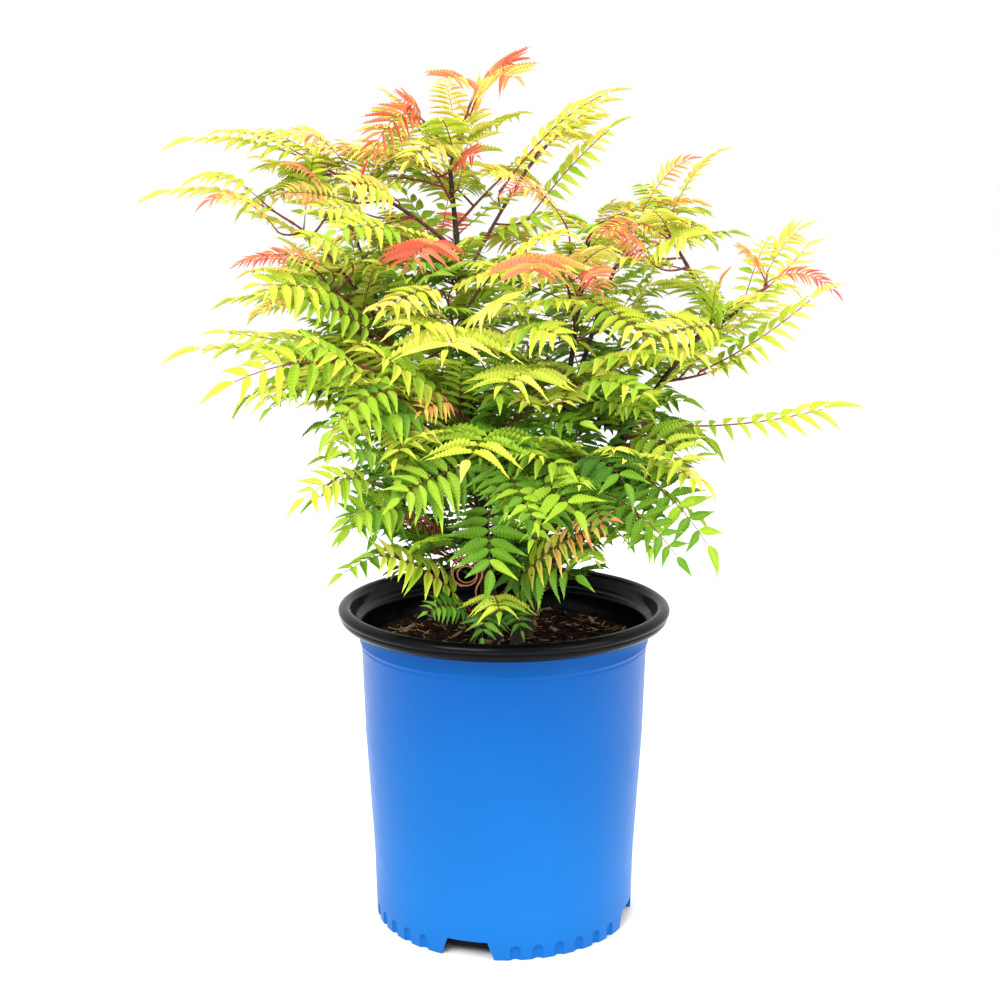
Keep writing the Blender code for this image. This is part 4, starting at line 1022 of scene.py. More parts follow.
def chip_mesh(name, length, width, height, seed):
    """A split shard of bark with a ragged outline."""
    draw = random.Random(seed)
    bm = bmesh.new()
    rims = ([], [])
    for index in range(CHIP_CORNERS):
        angle = math.tau * index / CHIP_CORNERS
        ragged = draw.uniform(*CHIP_RAGGEDNESS)
        x = math.cos(angle) * length / 2 * ragged
        y = math.sin(angle) * width / 2 * ragged
        bow = height * CHIP_BOW * (2 * x / length) ** 2
        top = bow + height * draw.uniform(*CHIP_THICKNESS)
        rims[0].append(bm.verts.new((x, y, bow)))
        rims[1].append(bm.verts.new((x * CHIP_TOP_INSET[0], y * CHIP_TOP_INSET[1], top)))
    bm.faces.new(rims[0][::-1])
    bm.faces.new(rims[1])
    for index in range(CHIP_CORNERS):
        following = (index + 1) % CHIP_CORNERS
        bm.faces.new((rims[0][index], rims[0][following], rims[1][following], rims[1][index]))
    bmesh.ops.recalc_face_normals(bm, faces=bm.faces)
    return finished_bmesh(bm, name)


def kept_apart(meshes):
    """A collection of source objects that isn't in the scene, for Geometry Nodes to copy."""
    shelf = bpy.data.collections.new("sources")
    for mesh in meshes:
        shelf.objects.link(bpy.data.objects.new(mesh.name, mesh))
    return shelf


def clear_shelf(shelf):
    """Removes the shelf and its objects once their copies are real."""
    for obj in list(shelf.objects):
        bpy.data.objects.remove(obj)
    bpy.data.collections.remove(shelf)


def scatter_tree():
    """Scatters the shelf's pieces over faces, lying loosely, each turned and sized at random."""
    tree, given = new_geometry_tree(
        "scatter",
        {
            "Density": "NodeSocketFloat",
            "Seed": "NodeSocketInt",
            "Pieces": "NodeSocketCollection",
            "Tilt": "NodeSocketFloat",
            "Smallest": "NodeSocketFloat",
            "Rise": "NodeSocketFloat",
            "Material": "NodeSocketMaterial",
        },
    )
    points = add_node(
        tree, "GeometryNodeDistributePointsOnFaces",
        {"Mesh": given["Geometry"], "Density": given["Density"], "Seed": given["Seed"]},
    )
    shelf = add_node(
        tree, "GeometryNodeCollectionInfo",
        {"Collection": given["Pieces"], "Separate Children": True, "Reset Children": True},
    )
    level = add_node(tree, "ShaderNodeMath", {0: given["Tilt"], 1: -1.0}, operation="MULTIPLY")
    least = add_node(tree, "ShaderNodeCombineXYZ", {"X": level.outputs[0], "Y": level.outputs[0]})
    most = add_node(
        tree, "ShaderNodeCombineXYZ", {"X": given["Tilt"], "Y": given["Tilt"], "Z": math.tau}
    )
    turn = add_node(
        tree, "FunctionNodeRandomValue",
        {"Min": least.outputs[0], "Max": most.outputs[0], "Seed": given["Seed"]},
        data_type="FLOAT_VECTOR",
    )
    rotation = add_node(tree, "FunctionNodeEulerToRotation", {"Euler": turn.outputs["Value"]})
    size = add_node(tree, "FunctionNodeRandomValue", {"Seed": given["Seed"]}, data_type="FLOAT")
    tree.links.new(given["Smallest"], size.inputs[2])
    size.inputs[3].default_value = 1.0
    copies = add_node(
        tree, "GeometryNodeInstanceOnPoints",
        {
            "Points": points.outputs["Points"],
            "Instance": shelf.outputs["Instances"],
            "Pick Instance": True,
            "Rotation": rotation.outputs["Rotation"],
            "Scale": size.outputs[1],
        },
    )
    rise = add_node(tree, "ShaderNodeCombineXYZ", {"Z": given["Rise"]})
    raised = add_node(
        tree, "GeometryNodeTranslateInstances",
        {"Instances": copies.outputs["Instances"], "Translation": rise.outputs[0],
         "Local Space": False},
    )
    return finish_tree(tree, raised.outputs["Instances"], given["Material"])


def mulch_material(name, dark, light, grain):
    """Composted bark: dull and fibrous, each piece a little lighter or darker than the next."""
    material, tree, shader = new_material(name, linear(dark), roughness=0.92, gloss=0.1)
    place = add_node(tree, "ShaderNodeTexCoord").outputs["Object"]
    fibre = add_node(
        tree, "ShaderNodeTexNoise",
        {"Vector": place, "Scale": pattern_scale(grain), "Detail": 4, "Roughness": 0.7},
    )
    ramp = add_node(tree, "ShaderNodeValToRGB", {"Fac": fibre.outputs["Fac"]})
    ramp.color_ramp.elements[0].position = 0.35
    ramp.color_ramp.elements[0].color = linear(dark)
    ramp.color_ramp.elements[1].position = 0.68
    ramp.color_ramp.elements[1].color = linear(light)
    tree.links.new(ramp.outputs["Color"], shader.inputs["Base Color"])
    bump = add_node(
        tree, "ShaderNodeBump",
        {"Height": fibre.outputs["Fac"], "Strength": 0.6, "Distance": 0.0008},
    )
    tree.links.new(bump.outputs["Normal"], shader.inputs["Normal"])
    return material


class SPIREA_OT_build_mix(bpy.types.Operator):
    """Builds the potting mix with its bark chips and straws"""

    bl_idname = "spirea.build_mix"
    bl_label = "Build Potting Mix"

    def execute(self, context):
        settings = context.scene.spirea_mix
        fines = mulch_material("composted_bark_fines", "#090504", "#1E120C", FINES_GRAIN)
        add_piece("mulch_bed", mix_mesh(fines), "mulch", ("potting_mix",))
        tree = scatter_tree()
        dark = mulch_material("bark_chips_dark", "#0E0806", "#34201A", DARK_CHIP_GRAIN)
        pale = mulch_material("bark_chips_weathered", "#5A4234", "#A08A74", PALE_CHIP_GRAIN)
        straw = mulch_material("straw_slivers", "#7C5A30", "#B8945A", STRAW_GRAIN)
        # Name; a piece's length, width and thickness; shapes and their first seed; how densely the
        # pieces lie, how far they tilt and how high they lie; and their finish
        kinds = (
            ("mulch_dark_chips", (0.013, 0.0050, 0.0016), 3, 0, settings.dark_chips, 0.45, 0.0004, dark),
            ("mulch_pale_chips", (0.014, 0.0050, 0.0012), 3, 9, settings.pale_chips, 0.55, 0.0012, pale),
            ("mulch_straws", (0.015, 0.0009, 0.0006), 2, 5, settings.straws, 0.30, 0.0016, straw),
        )
        for order, (name, size, count, first, density, tilt, rise, finish) in enumerate(kinds):
            shapes = [chip_mesh(f"chip_{n}", *size, SEED + first + n) for n in range(count)]
            shelf = kept_apart(shapes)
            mesh = grown_mesh(
                scatter_ground(), tree, name,
                {"Density": density, "Seed": SEED + order, "Pieces": shelf, "Tilt": tilt,
                 "Smallest": SMALLEST_CHIP, "Rise": rise, "Material": finish},
            )
            clear_shelf(shelf)
            add_piece(name, mesh, "mulch", ("potting_mix",))
        return {"FINISHED"}


# Growth rule, as in the part's source
class Bend:
    """A smooth bend from start to end whose middle is lifted."""

    def __init__(self, start, end, lift):
        self.start = Vector(start)
        self.end = Vector(end)
        self.control = (self.start + self.end) / 2 + UP * 2 * lift

    def point(self, share):
        rest = 1 - share
        return self.start * rest**2 + self.control * (2 * rest * share) + self.end * share**2

    def heading(self, share):
        rest = 1 - share
        along = (self.control - self.start) * rest + (self.end - self.control) * share
        return along.normalized()

    def length(self):
        points = [self.point(step / LENGTH_STEPS) for step in range(LENGTH_STEPS + 1)]
        return sum((after - before).length for before, after in zip(points, points[1:]))


class Limb:
    """A tapering stem or bough."""

    def __init__(self, bend, foot_radius, tip_radius):
        self.bend = bend
        self.foot_radius = foot_radius
        self.tip_radius = tip_radius

    def radius(self, share):
        return self.foot_radius + (self.tip_radius - self.foot_radius) * share


class Leaf:
    """A pinnate leaf: its rib's bend, how its blade rolls about it, and its tones from foot to tip."""

    def __init__(self, bend, roll, tones, leaflet=None):
        self.bend = bend
        self.roll = roll
        self.tones = tones
        self.youth = youth_of(sum(tones) / 2)
        self.length = bend.length()
        self.slim = False
        spread = LEAFLET_SPREAD + (YOUNG_SPREAD - LEAFLET_SPREAD) * self.youth
        self.leaflet = leaflet or self.length * spread

    def shrunk(self, size):
        """The same leaf at a share of its size, from the same foot."""
        if size == 1:
            return self
        start, end = self.bend.start, self.bend.end
        bend = Bend(start, start.lerp(end, size), 0)
        bend.control = start.lerp(self.bend.control, size)
        return Leaf(bend, self.roll, self.tones, self.leaflet * size**0.5)

    def frame(self, share):
        """Heading, side and face of the blade."""
        heading = self.bend.heading(share)
        side, face = level_frame(heading)
        turn = Matrix.Rotation(self.roll, 3, heading)
        return heading, turn @ side, turn @ face

    def half_width(self, share):
        """Half the blade's width: none on the petiole, widest a third of the way up."""
        if share < PETIOLE_SHARE:
            return 0
        blade = BLADE_START + (1 - BLADE_START) * (share - PETIOLE_SHARE) / (1 - PETIOLE_SHARE)
        return self.leaflet * max(math.sin(math.pi * blade), 0) ** BLADE_FULLNESS

    def outline_tree(self):
        """The blade's outline as a ribbon, for telling whether two leaves would cross."""
        corners = []
        faces = []
        for step in range(OUTLINE_STEPS + 1):
            share = OUTLINE_START + (1 - OUTLINE_START) * step / OUTLINE_STEPS
            half = max(self.half_width(share) * OUTLINE_SHARE, PETIOLE_GIRTH)
            side = self.frame(share)[1] * half
            centre = self.bend.point(share)
            corners += [centre - side, centre + side]
            if step:
                last = len(corners) - 4
                faces.append((last, last + 1, last + 3, last + 2))
        return BVHTree.FromPolygons(corners, faces)


class Shoot:
    """A twig that carries leaves, and goes on as its end leaf to the point it reaches."""

    def __init__(self, start, end, lift, leaf_length, tones):
        whole = Bend(start, end, lift)
        share = max(1 - leaf_length / whole.length(), SHORTEST_TWIG_SHARE)
        tip = whole.point(share)
        self.twig = Bend(start, tip, 0)
        self.twig.control = whole.start.lerp(whole.control, share)
        end_bend = Bend(tip, end, 0)
        end_bend.control = whole.control.lerp(whole.end, share)
        self.tones = tones
        self.leaf_length = leaf_length
        self.end_leaf = Leaf(end_bend, 0, (tones[1] - 1, tones[1]))


def youth_of(tone):
    """How young a leaf of this tone is, from 0 for a green one to 1 for a coral one."""
    return min(max((tone - YOUTH_START) / YOUTH_SPAN, 0), 1)


def level_frame(heading):
    """A side that lies level and a face that looks up, square to this heading."""
    side = heading.cross(UP)
    if side.length < NEAR_UPRIGHT:
        side = heading.cross(Vector((1, 0, 0)))
    side.normalize()
    return side, side.cross(heading)


def leaving_point(limb, along, target, own_radius):
    """Where a branch of this radius starts, clear of the limb that carries it."""
    centre = limb.bend.point(along)
    axis = limb.bend.heading(along)
    outward = (target - centre).normalized()
    cosine = outward.dot(axis)
    sine = max(math.sqrt(max(1 - cosine**2, 0)), LEAST_SINE)
    if along == 1:
        return centre + axis * (CLEARANCE + own_radius * sine)
    return centre + outward * (limb.radius(along) + CLEARANCE + own_radius * abs(cosine)) / sine


def grow_limbs():
    """Every stem and bough by name."""
    limbs = {}
    for name, (foot, tip, lift, foot_radius, tip_radius) in STEMS.items():
        ground = Vector((*foot, SOIL_HEIGHT + CLEARANCE))
        bend = Bend(ground + UP * STEM_FOOT_HEIGHT, tip, lift)
        limbs[name] = Limb(bend, foot_radius, tip_radius)
    for name, (parent, along, tip, lift, foot_radius, tip_radius) in BOUGHS.items():
        start = leaving_point(limbs[parent], along, Vector(tip), foot_radius)
        limbs[name] = Limb(Bend(start, tip, lift), foot_radius, tip_radius)
    return limbs


# Tubes
def tube_tree():
    """Turns a network of edges into tapering tubes, with a relief drawn out along them."""
    tree, given = new_geometry_tree(
        "tubes",
        {
            "Sides": "NodeSocketInt",
            "Relief": "NodeSocketFloat",
            "Grain": "NodeSocketFloat",
            "Material": "NodeSocketMaterial",
        },
    )
    lines = add_node(tree, "GeometryNodeMeshToCurve", {"Mesh": given["Geometry"]})
    circle = add_node(
        tree, "GeometryNodeCurvePrimitiveCircle", {"Resolution": given["Sides"], "Radius": 1.0}
    )
    girth = add_node(
        tree, "GeometryNodeInputNamedAttribute", {"Name": "girth"}, data_type="FLOAT"
    )
    tubes = add_node(
        tree, "GeometryNodeCurveToMesh",
        {
            "Curve": lines.outputs["Curve"],
            "Profile Curve": circle.outputs["Curve"],
            "Scale": girth.outputs["Attribute"],
            "Fill Caps": True,
        },
    )
    place = add_node(tree, "GeometryNodeInputPosition")
    stretched = add_node(
        tree, "ShaderNodeVectorMath", {0: place.outputs["Position"], 1: RIDGE_STRETCH},
        operation="MULTIPLY",
    )
    ridges = add_node(
        tree, "ShaderNodeTexNoise",
        {"Vector": stretched.outputs["Vector"], "Scale": given["Grain"], "Detail": 3},
    )
    height = add_node(
        tree, "ShaderNodeMath", {0: ridges.outputs["Fac"], 1: 0.5}, operation="SUBTRACT"
    )
    depth = add_node(
        tree, "ShaderNodeMath", {0: height.outputs[0], 1: given["Relief"]}, operation="MULTIPLY"
    )
    normal = add_node(tree, "GeometryNodeInputNormal")
    offset = add_node(
        tree, "ShaderNodeVectorMath", {0: normal.outputs["Normal"], "Scale": depth.outputs[0]},
        operation="SCALE",
    )
    rough = add_node(
        tree, "GeometryNodeSetPosition",
        {"Geometry": tubes.outputs["Mesh"], "Offset": offset.outputs["Vector"]},
    )
    smooth = add_node(
        tree, "GeometryNodeSetShadeSmooth",
        {"Geometry": rough.outputs["Geometry"], "Shade Smooth": True},
    )
    return finish_tree(tree, smooth.outputs["Geometry"], given["Material"])


def network_mesh(name, lines):
    """A mesh of open lines with a girth at each point, from lists of points and girths."""
    corners = []
    edges = []
    girths = []
    for points, radii in lines:
        first = len(corners)
        corners += [tuple(point) for point in points]
        girths += radii
        edges += [(first + step, first + step + 1) for step in range(len(points) - 1)]
    mesh = bpy.data.meshes.new(name)
    mesh.from_pydata(corners, edges, [])
    girth = mesh.attributes.new("girth", "FLOAT", "POINT")
    girth.data.foreach_set("value", girths)
    return mesh


def limb_line(limb, phase):
    """Points and girths along a limb, swelling at its nodes."""
    length = limb.bend.length()
    count = max(round(length / LIMB_STEP), 4)
    points = []
    girths = []
    for step in range(count + 1):
        share = step / count
        past_node = (share * length + phase) % NODE_SPACING - NODE_SPACING / 2
        swell = 1 + NODE_SWELL * math.exp(-((past_node / NODE_REACH) ** 2))
        points.append(limb.bend.point(share))
        girths.append(limb.radius(share) * swell)
    return points, girths


def stem_line(name, limb, phase):
    """A stem's line, which starts below the mix and flares at its foot."""
    points, girths = limb_line(limb, phase)
    foot = Vector((*STEMS[name][0], SOIL_HEIGHT - STEM_FOOT_HEIGHT))
    for index, point in enumerate(points):
        rise = max(1 - (point.z - SOIL_HEIGHT) / (FLARE_HEIGHT + STEM_FOOT_HEIGHT), 0)
        girths[index] *= 1 + (FLARE_RATIO - 1) * rise**FLARE_CURVE
    return [foot] + points, [girths[0] * BURIED_FLARE] + girths


def bark_material(name, dark, light, fleck, roughness):
    """Stem bark: dull, with long streaks and pale breathing pores, smoother on young wood."""
    material, tree, shader = new_material(name, linear(dark), roughness)
    place = add_node(tree, "ShaderNodeTexCoord").outputs["Object"]
    drawn = add_node(tree, "ShaderNodeMapping", {"Vector": place, "Scale": STREAK_STRETCH})
    streaks = add_node(
        tree, "ShaderNodeTexNoise",
        {"Vector": drawn.outputs["Vector"], "Scale": pattern_scale(BARK_STREAK_WIDTH), "Detail": 4,
         "Roughness": 0.6},
    )
    ramp = add_node(tree, "ShaderNodeValToRGB", {"Fac": streaks.outputs["Fac"]})
    ramp.color_ramp.elements[0].position = 0.36
    ramp.color_ramp.elements[0].color = linear(dark)
    ramp.color_ramp.elements[1].position = 0.66
    ramp.color_ramp.elements[1].color = linear(light)
    pores = add_node(
        tree, "ShaderNodeTexVoronoi", {"Vector": place, "Scale": pattern_scale(BARK_PORE_SPACING)}
    )
    spot = add_node(
        tree, "ShaderNodeMapRange",
        {"Value": pores.outputs["Distance"], "From Min": 0.12, "From Max": 0.22, "To Min": 0.8,
         "To Max": 0.0},
    )
    flecked = add_node(
        tree, "ShaderNodeMix", {"Factor": spot.outputs["Result"]}, data_type="RGBA"
    )
    tree.links.new(ramp.outputs["Color"], flecked.inputs[6])
    flecked.inputs[7].default_value = linear(fleck)
    tree.links.new(flecked.outputs[2], shader.inputs["Base Color"])
    bump = add_node(
        tree, "ShaderNodeBump",
        {"Height": streaks.outputs["Fac"], "Strength": 0.5, "Distance": 0.0004},
    )
    tree.links.new(bump.outputs["Normal"], shader.inputs["Normal"])
    return material


class SPIREA_OT_build_limbs(bpy.types.Operator):
    """Builds the stems and boughs with the bark's relief"""

    bl_idname = "spirea.build_limbs"
    bl_label = "Build Stems and Boughs"

    def execute(self, context):
        settings = context.scene.spirea_limbs
        limbs = grow_limbs()
        tree = tube_tree()
        draw = random.Random(SEED)
        stem_lines = [
            stem_line(name, limbs[name], draw.uniform(0, NODE_SPACING)) for name in STEMS
        ]
        bough_lines = []
        for name, (parent, along, *_) in BOUGHS.items():
            points, girths = limb_line(limbs[name], draw.uniform(0, NODE_SPACING))
            fork = limbs[parent].bend.point(along)
            bough_lines.append(([fork] + points, [girths[0]] + girths))
        bark = bark_material("spirea_bark_brown", "#1C0E0C", "#40241C", "#7C6450", 0.72)
        young = bark_material("spirea_bark_young", "#3A1512", "#6A2C22", "#986448", 0.5)
        values = {
            "Sides": settings.sides, "Relief": settings.relief,
            "Grain": pattern_scale(LIMB_RIDGE_SPACING),
        }
        stems = grown_mesh(
            network_mesh("stems", stem_lines), tree, "stems_bark", {**values, "Material": bark}
        )
        values["Relief"] = settings.relief / 2
        boughs = grown_mesh(
            network_mesh("boughs", bough_lines), tree, "boughs_bark", {**values, "Material": young}
        )
        add_piece("stems_bark", stems, "bark", tuple(STEMS))
        add_piece("boughs_bark", boughs, "young_bark", tuple(BOUGHS))
        return {"FINISHED"}


# Leaves
def side_leaf(shoot, place, index, leaf_length, turn, draw):
    """One leaf on the shoot's spiral, set off from the twig and arching over to its tip."""
    centre = shoot.twig.point(place)
    axis = shoot.twig.heading(place)
    around = GOLDEN_ANGLE * index + draw.uniform(-1, 1) * SPIRAL_UNEVENNESS + turn
    across = Matrix.Rotation(around, 3, axis) @ level_frame(axis)[0]
    degrees = OPENING_AT_FOOT - OPENING_LOSS * place + draw.uniform(-1, 1) * OPENING_UNEVENNESS
    opening = math.radians(degrees)
    outward = axis * math.cos(opening) + across * math.sin(opening)
    outward.z = min(max(outward.z, LEAF_LOWEST), LEAF_STEEPEST)
    outward.normalize()
    length = leaf_length * draw.uniform(*LEAF_LENGTH_RANGE)
    tone = shoot.tones[0] + (shoot.tones[1] - shoot.tones[0]) * place**TONE_RISE
    tone += draw.uniform(-TONE_SCATTER, TONE_SCATTER)
    droop = length * LEAF_DROOP * draw.uniform(*DROOP_RANGE) * (1 - YOUNG_DROOP * youth_of(tone))
    bend = Bend(centre, centre + outward * length * LEAF_CHORD - UP * droop, 0)
    bend.control = centre + outward * length / 2
    tones = (tone - LEAF_TONE_SPREAD, tone + LEAF_TONE_SPREAD)
    return Leaf(bend, draw.uniform(-1, 1) * LEAF_ROLL, tones)


def crown_reach(point):
    """The crown's half width at this height, on this point's side of the axis."""
    for lower, upper in zip(CROWN_PROFILE, CROWN_PROFILE[1:]):
        if lower[0] <= point.z < upper[0]:
            share = (point.z - lower[0]) / (upper[0] - lower[0])
            hand = 1 if point.x < 0 else 2
            return lower[hand] + (upper[hand] - lower[hand]) * share
    return 0


def seen_from_eye(point):
    """Where a point is seen from the front, in thousandths across and down the view, and how far."""
    seen = EYE_TURN @ (point - Vector(CAMERA_PLACE))
    scale = VIEW_SCALE / -seen.z
    return VIEW_CENTRE[0] + seen.x * scale, VIEW_CENTRE[1] - seen.y * scale, -seen.z


def place_in_view(across, down, deep):
    """The point at this place of the view and this deep, in whole millimetres."""
    away = deep / 1000 - CAMERA_PLACE[1]
    rise = away * math.tan(math.atan((VIEW_CENTRE[1] - down) / VIEW_SCALE) - CAMERA_TILT)
    far = away * math.cos(CAMERA_TILT) - rise * math.sin(CAMERA_TILT)
    beside = (across - POT_COLUMN) / VIEW_SCALE * far
    return Vector((round(1000 * beside), deep, round(1000 * (CAMERA_PLACE[2] + rise)))) / 1000


def is_open(point):
    """Whether this point lies in a place where the crown is open from the front."""
    across, down, _ = seen_from_eye(point)
    return any(math.hypot(across - x, down - y) < wide for x, y, wide in OPEN_PLACES)


def hides_leading_leaf(leaf, shown):
    """Whether the leaf stands in front of one that leads the crown's front."""
    for share in CHECKED_SHARES:
        across, down, depth = seen_from_eye(leaf.bend.point(share))
        for x, y, far in shown:
            if depth < far and math.hypot(across - x, down - y) < SHOWN_MARGIN:
                return True
    return False


def meets_open_place(leaf):
    """Whether the leaf's rib or the inner part of its blade lies in an open place."""
    for share in CHECKED_SHARES:
        point = leaf.bend.point(share)
        side = leaf.frame(share)[1] * leaf.half_width(share) * CHECKED_WIDTH
        if any(is_open(place) for place in (point, point - side, point + side)):
            return True
    return False


def inside_crown(leaf):
    """Whether the leaf keeps inside the crown, off its open places and above the pot's rim."""
    if meets_open_place(leaf):
        return False
    for share in CHECKED_SHARES:
        point = leaf.bend.point(share)
        reach = crown_reach(point) * CROWN_MARGIN
        if reach == 0 or math.hypot(point.x / reach, point.y / (CROWN_DEPTH * CROWN_MARGIN)) > 1:
            return False
        if point.z < SKIRT_HEIGHT and math.hypot(point.x, point.y) > SKIRT_RADIUS:
            return False
    return True


class Space:
    """The leaves placed so far, so that a new one crosses none of them and hides no leading leaf."""

    def __init__(self, led):
        self.taken = []
        self.shown = []
        for leaf in led:
            self.add(leaf)
            for step in range(SHOWN_STEPS + 1):
                self.shown.append(seen_from_eye(leaf.bend.point(step / SHOWN_STEPS)))

    def add(self, leaf):
        self.taken.append((leaf.bend.point(0.5), leaf.length / 2, leaf.outline_tree()))

    def is_free(self, leaf):
        if hides_leading_leaf(leaf, self.shown):
            return False
        outline = leaf.outline_tree()
        middle = leaf.bend.point(0.5)
        for centre, reach, other in self.taken:
            near = (centre - middle).length < reach + leaf.length / 2
            if near and outline.overlap(other):
                return False
        return True


def tries(seed):
    """Each try at placing a leaf: fresh draws, its turn about the twig, and how much it shrinks."""
    for attempt in range(TURN_TRIES):
        turn = TURN_STEP * ((attempt + 1) // 2) * (-1) ** attempt
        yield random.Random(seed), turn, TRY_SHRINK * attempt


def placed_leaf(shoot, place, index, leaf_length, seed, space):
    """The shoot's leaf here, turned about its twig until it crosses nothing, or None."""
    for draw, turn, shrink in tries(seed):
        leaf = side_leaf(shoot, place, index, leaf_length * (1 - shrink), turn, draw)
        if inside_crown(leaf) and space.is_free(leaf):
            space.add(leaf)
            return leaf
    return None


def fill_shoot(shoot, count, order, space):
    """The shoot's side leaves, from its tip down. One that finds no free place is left out."""
    found = []
    for index in reversed(range(count)):
        place = FIRST_LEAF_PLACE + LEAF_PLACE_SPAN * (index + 1) / count
        seed = SEED + SHOOT_SEED_STEP * order + LEAF_SEED_STEP * index
        found.append(placed_leaf(shoot, place, index, shoot.leaf_length, seed, space))
    return [leaf for leaf in found if leaf]


def side_shoot(parent, place, order, space):
    """A finer shoot that leaves a twig by the same spiral, with its own end leaf, or None."""
    for draw, turn, shrink in tries(SEED + SIDE_SHOOT_SEED_STEP * order):
        length = parent.leaf_length * (SIDE_SHOOT_REACH - shrink)
        guide = side_leaf(parent, place, order, length, turn, draw)
        tones = (parent.tones[0], min(parent.tones[1], SIDE_SHOOT_RIPEST))
        leaf_length = parent.leaf_length * SIDE_SHOOT_SHARE
        lift = length * SIDE_SHOOT_LIFT
        shoot = Shoot(guide.bend.start, guide.bend.end, lift, leaf_length, tones)
        if inside_crown(shoot.end_leaf) and space.is_free(shoot.end_leaf):
            space.add(shoot.end_leaf)
            return shoot
    return None


def stem_leaves(limbs, space):
    """Leaves that stand on the stems and boughs themselves, greener the lower they stand."""
    found = []
    for order, limb in enumerate(limbs.values()):
        length = limb.bend.length()
        count = int(length / STEM_LEAF_SPACING)
        host = Shoot(limb.bend.start, limb.bend.end, 0, length / 2, (0, 0))
        host.twig = limb.bend
        for index in range(count):
            place = (index + 0.5) / count
            height = limb.bend.point(place).z
            if height < STEM_LEAF_LOWEST:
                continue
            tone = (height - STEM_LEAF_LOWEST) * STEM_TONE_RISE + STEM_TONE_START
            host.tones = (tone, tone)
            seed = SEED + STEM_SEED_STEP * (order + STEM_LEAF_SEEDS) + LEAF_SEED_STEP * index
            found.append(placed_leaf(host, place, index, STEM_LEAF_LENGTH, seed, space))
    return [leaf for leaf in found if leaf]


def leading_leaf(start, end, lift, leaflet, lean, foot_tone, tip_tone):
    """One of the leaves that lead the crown's front, from its row."""
    bend = Bend(place_in_view(*start), place_in_view(*end), lift / 1000)
    roll = math.copysign(math.radians(lean), bend.end.x - bend.start.x)
    return Leaf(bend, roll, (foot_tone, tip_tone), leaflet / 1000)


def petiole_twig(leaf, hosts):
    """The twig that joins a leading leaf to the nearest limb below it, running on into its rib."""
    foot = leaf.bend.start
    places = [host.point(step / HOST_STEPS) for host in hosts for step in range(HOST_STEPS + 1)]
    heading = leaf.bend.heading(0)

    def cost(place):
        run = foot - place
        fall = max(-run.z, 0)
        return run.length * RUN_COST - run.dot(heading) * AHEAD_GAIN + HIGH_HOST_COST * fall

    nearest = min(places, key=cost)
    twig = Bend(nearest, foot, 0)
    run = foot - nearest
    ahead = max(run.normalized().dot(heading), 0)
    twig.control = foot - (heading * ahead * run.length + run * (1 - ahead)) * PETIOLE_BEND
    return twig


def mass_shoot(name, limbs):
    """The shoot that a mass grows from, no riper at the front than the photo shows."""
    limb, along, reach, lift, _, leaf_length, tint = MASSES[name]
    target = Vector(reach)
    start = leaving_point(limbs[limb], along, target + UP * 2 * lift, TWIG_RADIUS)
    ripest = math.inf if target.y > BACK_START else FRONT_RIPEST
    shoot = Shoot(start, target, lift, leaf_length, (TONES[tint][0], min(TONES[tint][1], ripest)))
    if name in SLIM_LEAVES:
        shoot.end_leaf.slim = True
        shoot.end_leaf.leaflet = SLIM_LEAVES[name]
        shoot.end_leaf.roll = SLIM_LEAF_ROLL
    return shoot


def fitted_end_leaf(shoot, space):
    """The shoot's end leaf at the largest size that is clear and free, or else at the smallest."""
    for size in END_LEAF_SIZES:
        leaf = shoot.end_leaf.shrunk(size)
        if leaf.slim or (not meets_open_place(leaf) and space.is_free(leaf)):
            break
    return leaf


def grow_foliage(limbs, density):
    """Every twig and leaf: the leading leaves, the masses' shoots, finer shoots, and the limbs' own."""
    led = [leading_leaf(*row) for row in LEADING_LEAVES]
    leaves = list(led)
    twigs = []
    space = Space(led)
    shoots = {name: mass_shoot(name, limbs) for name in MASSES}
    for name, shoot in shoots.items():
        fork = limbs[MASSES[name][0]].bend.point(MASSES[name][1])
        twigs.append(([fork], shoot.twig, TWIG_GIRTH))
        leaf = fitted_end_leaf(shoot, space)
        space.add(leaf)
        leaves.append(leaf)
    hosts = [limb.bend for limb in limbs.values()] + [twig for _, twig, _ in twigs]
    for leaf in led:
        twigs.append(([], petiole_twig(leaf, hosts), TWIG_GIRTH * PETIOLE_TWIG_SHARE))
    for order, (name, shoot) in enumerate(shoots.items()):
        count = round((MASSES[name][4] - 1) * density * FULLNESS[MASSES[name][6]])
        leaves += fill_shoot(shoot, count, order, space)
    for order, (name, shoot) in enumerate(shoots.items()):
        if MASSES[name][4] < 2:
            continue
        places = SIDE_SHOOT_PLACES if MASSES[name][6] in FULL_TINTS else SIDE_SHOOT_PLACES[:1]
        for rank, place in enumerate(places, order * 3):
            finer = side_shoot(shoot, place, rank, space)
            if finer:
                twigs.append(([], finer.twig, TWIG_GIRTH * SIDE_TWIG_SHARE))
                leaves.append(finer.end_leaf)
                leaves += fill_shoot(finer, SIDE_SHOOT_LEAVES, SIDE_SHOOT_SEEDS + rank, space)
    return twigs, leaves + stem_leaves(limbs, space)


def twig_line(start_points, bend, girth):
    """A twig's line from inside its limb to its tip, and its girth, which tapers to the tip."""
    count = max(round(bend.length() / TWIG_STEP), 3)
    points = start_points + [bend.point(step / count) for step in range(count + 1)]
    girths = [girth * TWIG_FOOT_SWELL] * len(start_points)
    girths += [girth * (1 - TWIG_TAPER * step / count) for step in range(count + 1)]
    return points, girths


def rib_line(leaf):
    """The leaf's rib, thicker where it joins its twig."""
    points = []
    girths = []
    scale = min(leaf.length / RIB_FULL_LENGTH, RIB_STOUTEST)
    for step in range(RIB_STEPS + 1):
        share = RIB_END * step / RIB_STEPS
        base = RIB_BASE_SWELL * math.exp(-((share / RIB_BASE_REACH) ** 2))
        points.append(leaf.bend.point(share))
        girths.append(PETIOLE_GIRTH * scale * (1 + base - RIB_TAPER * share))
    return points, girths


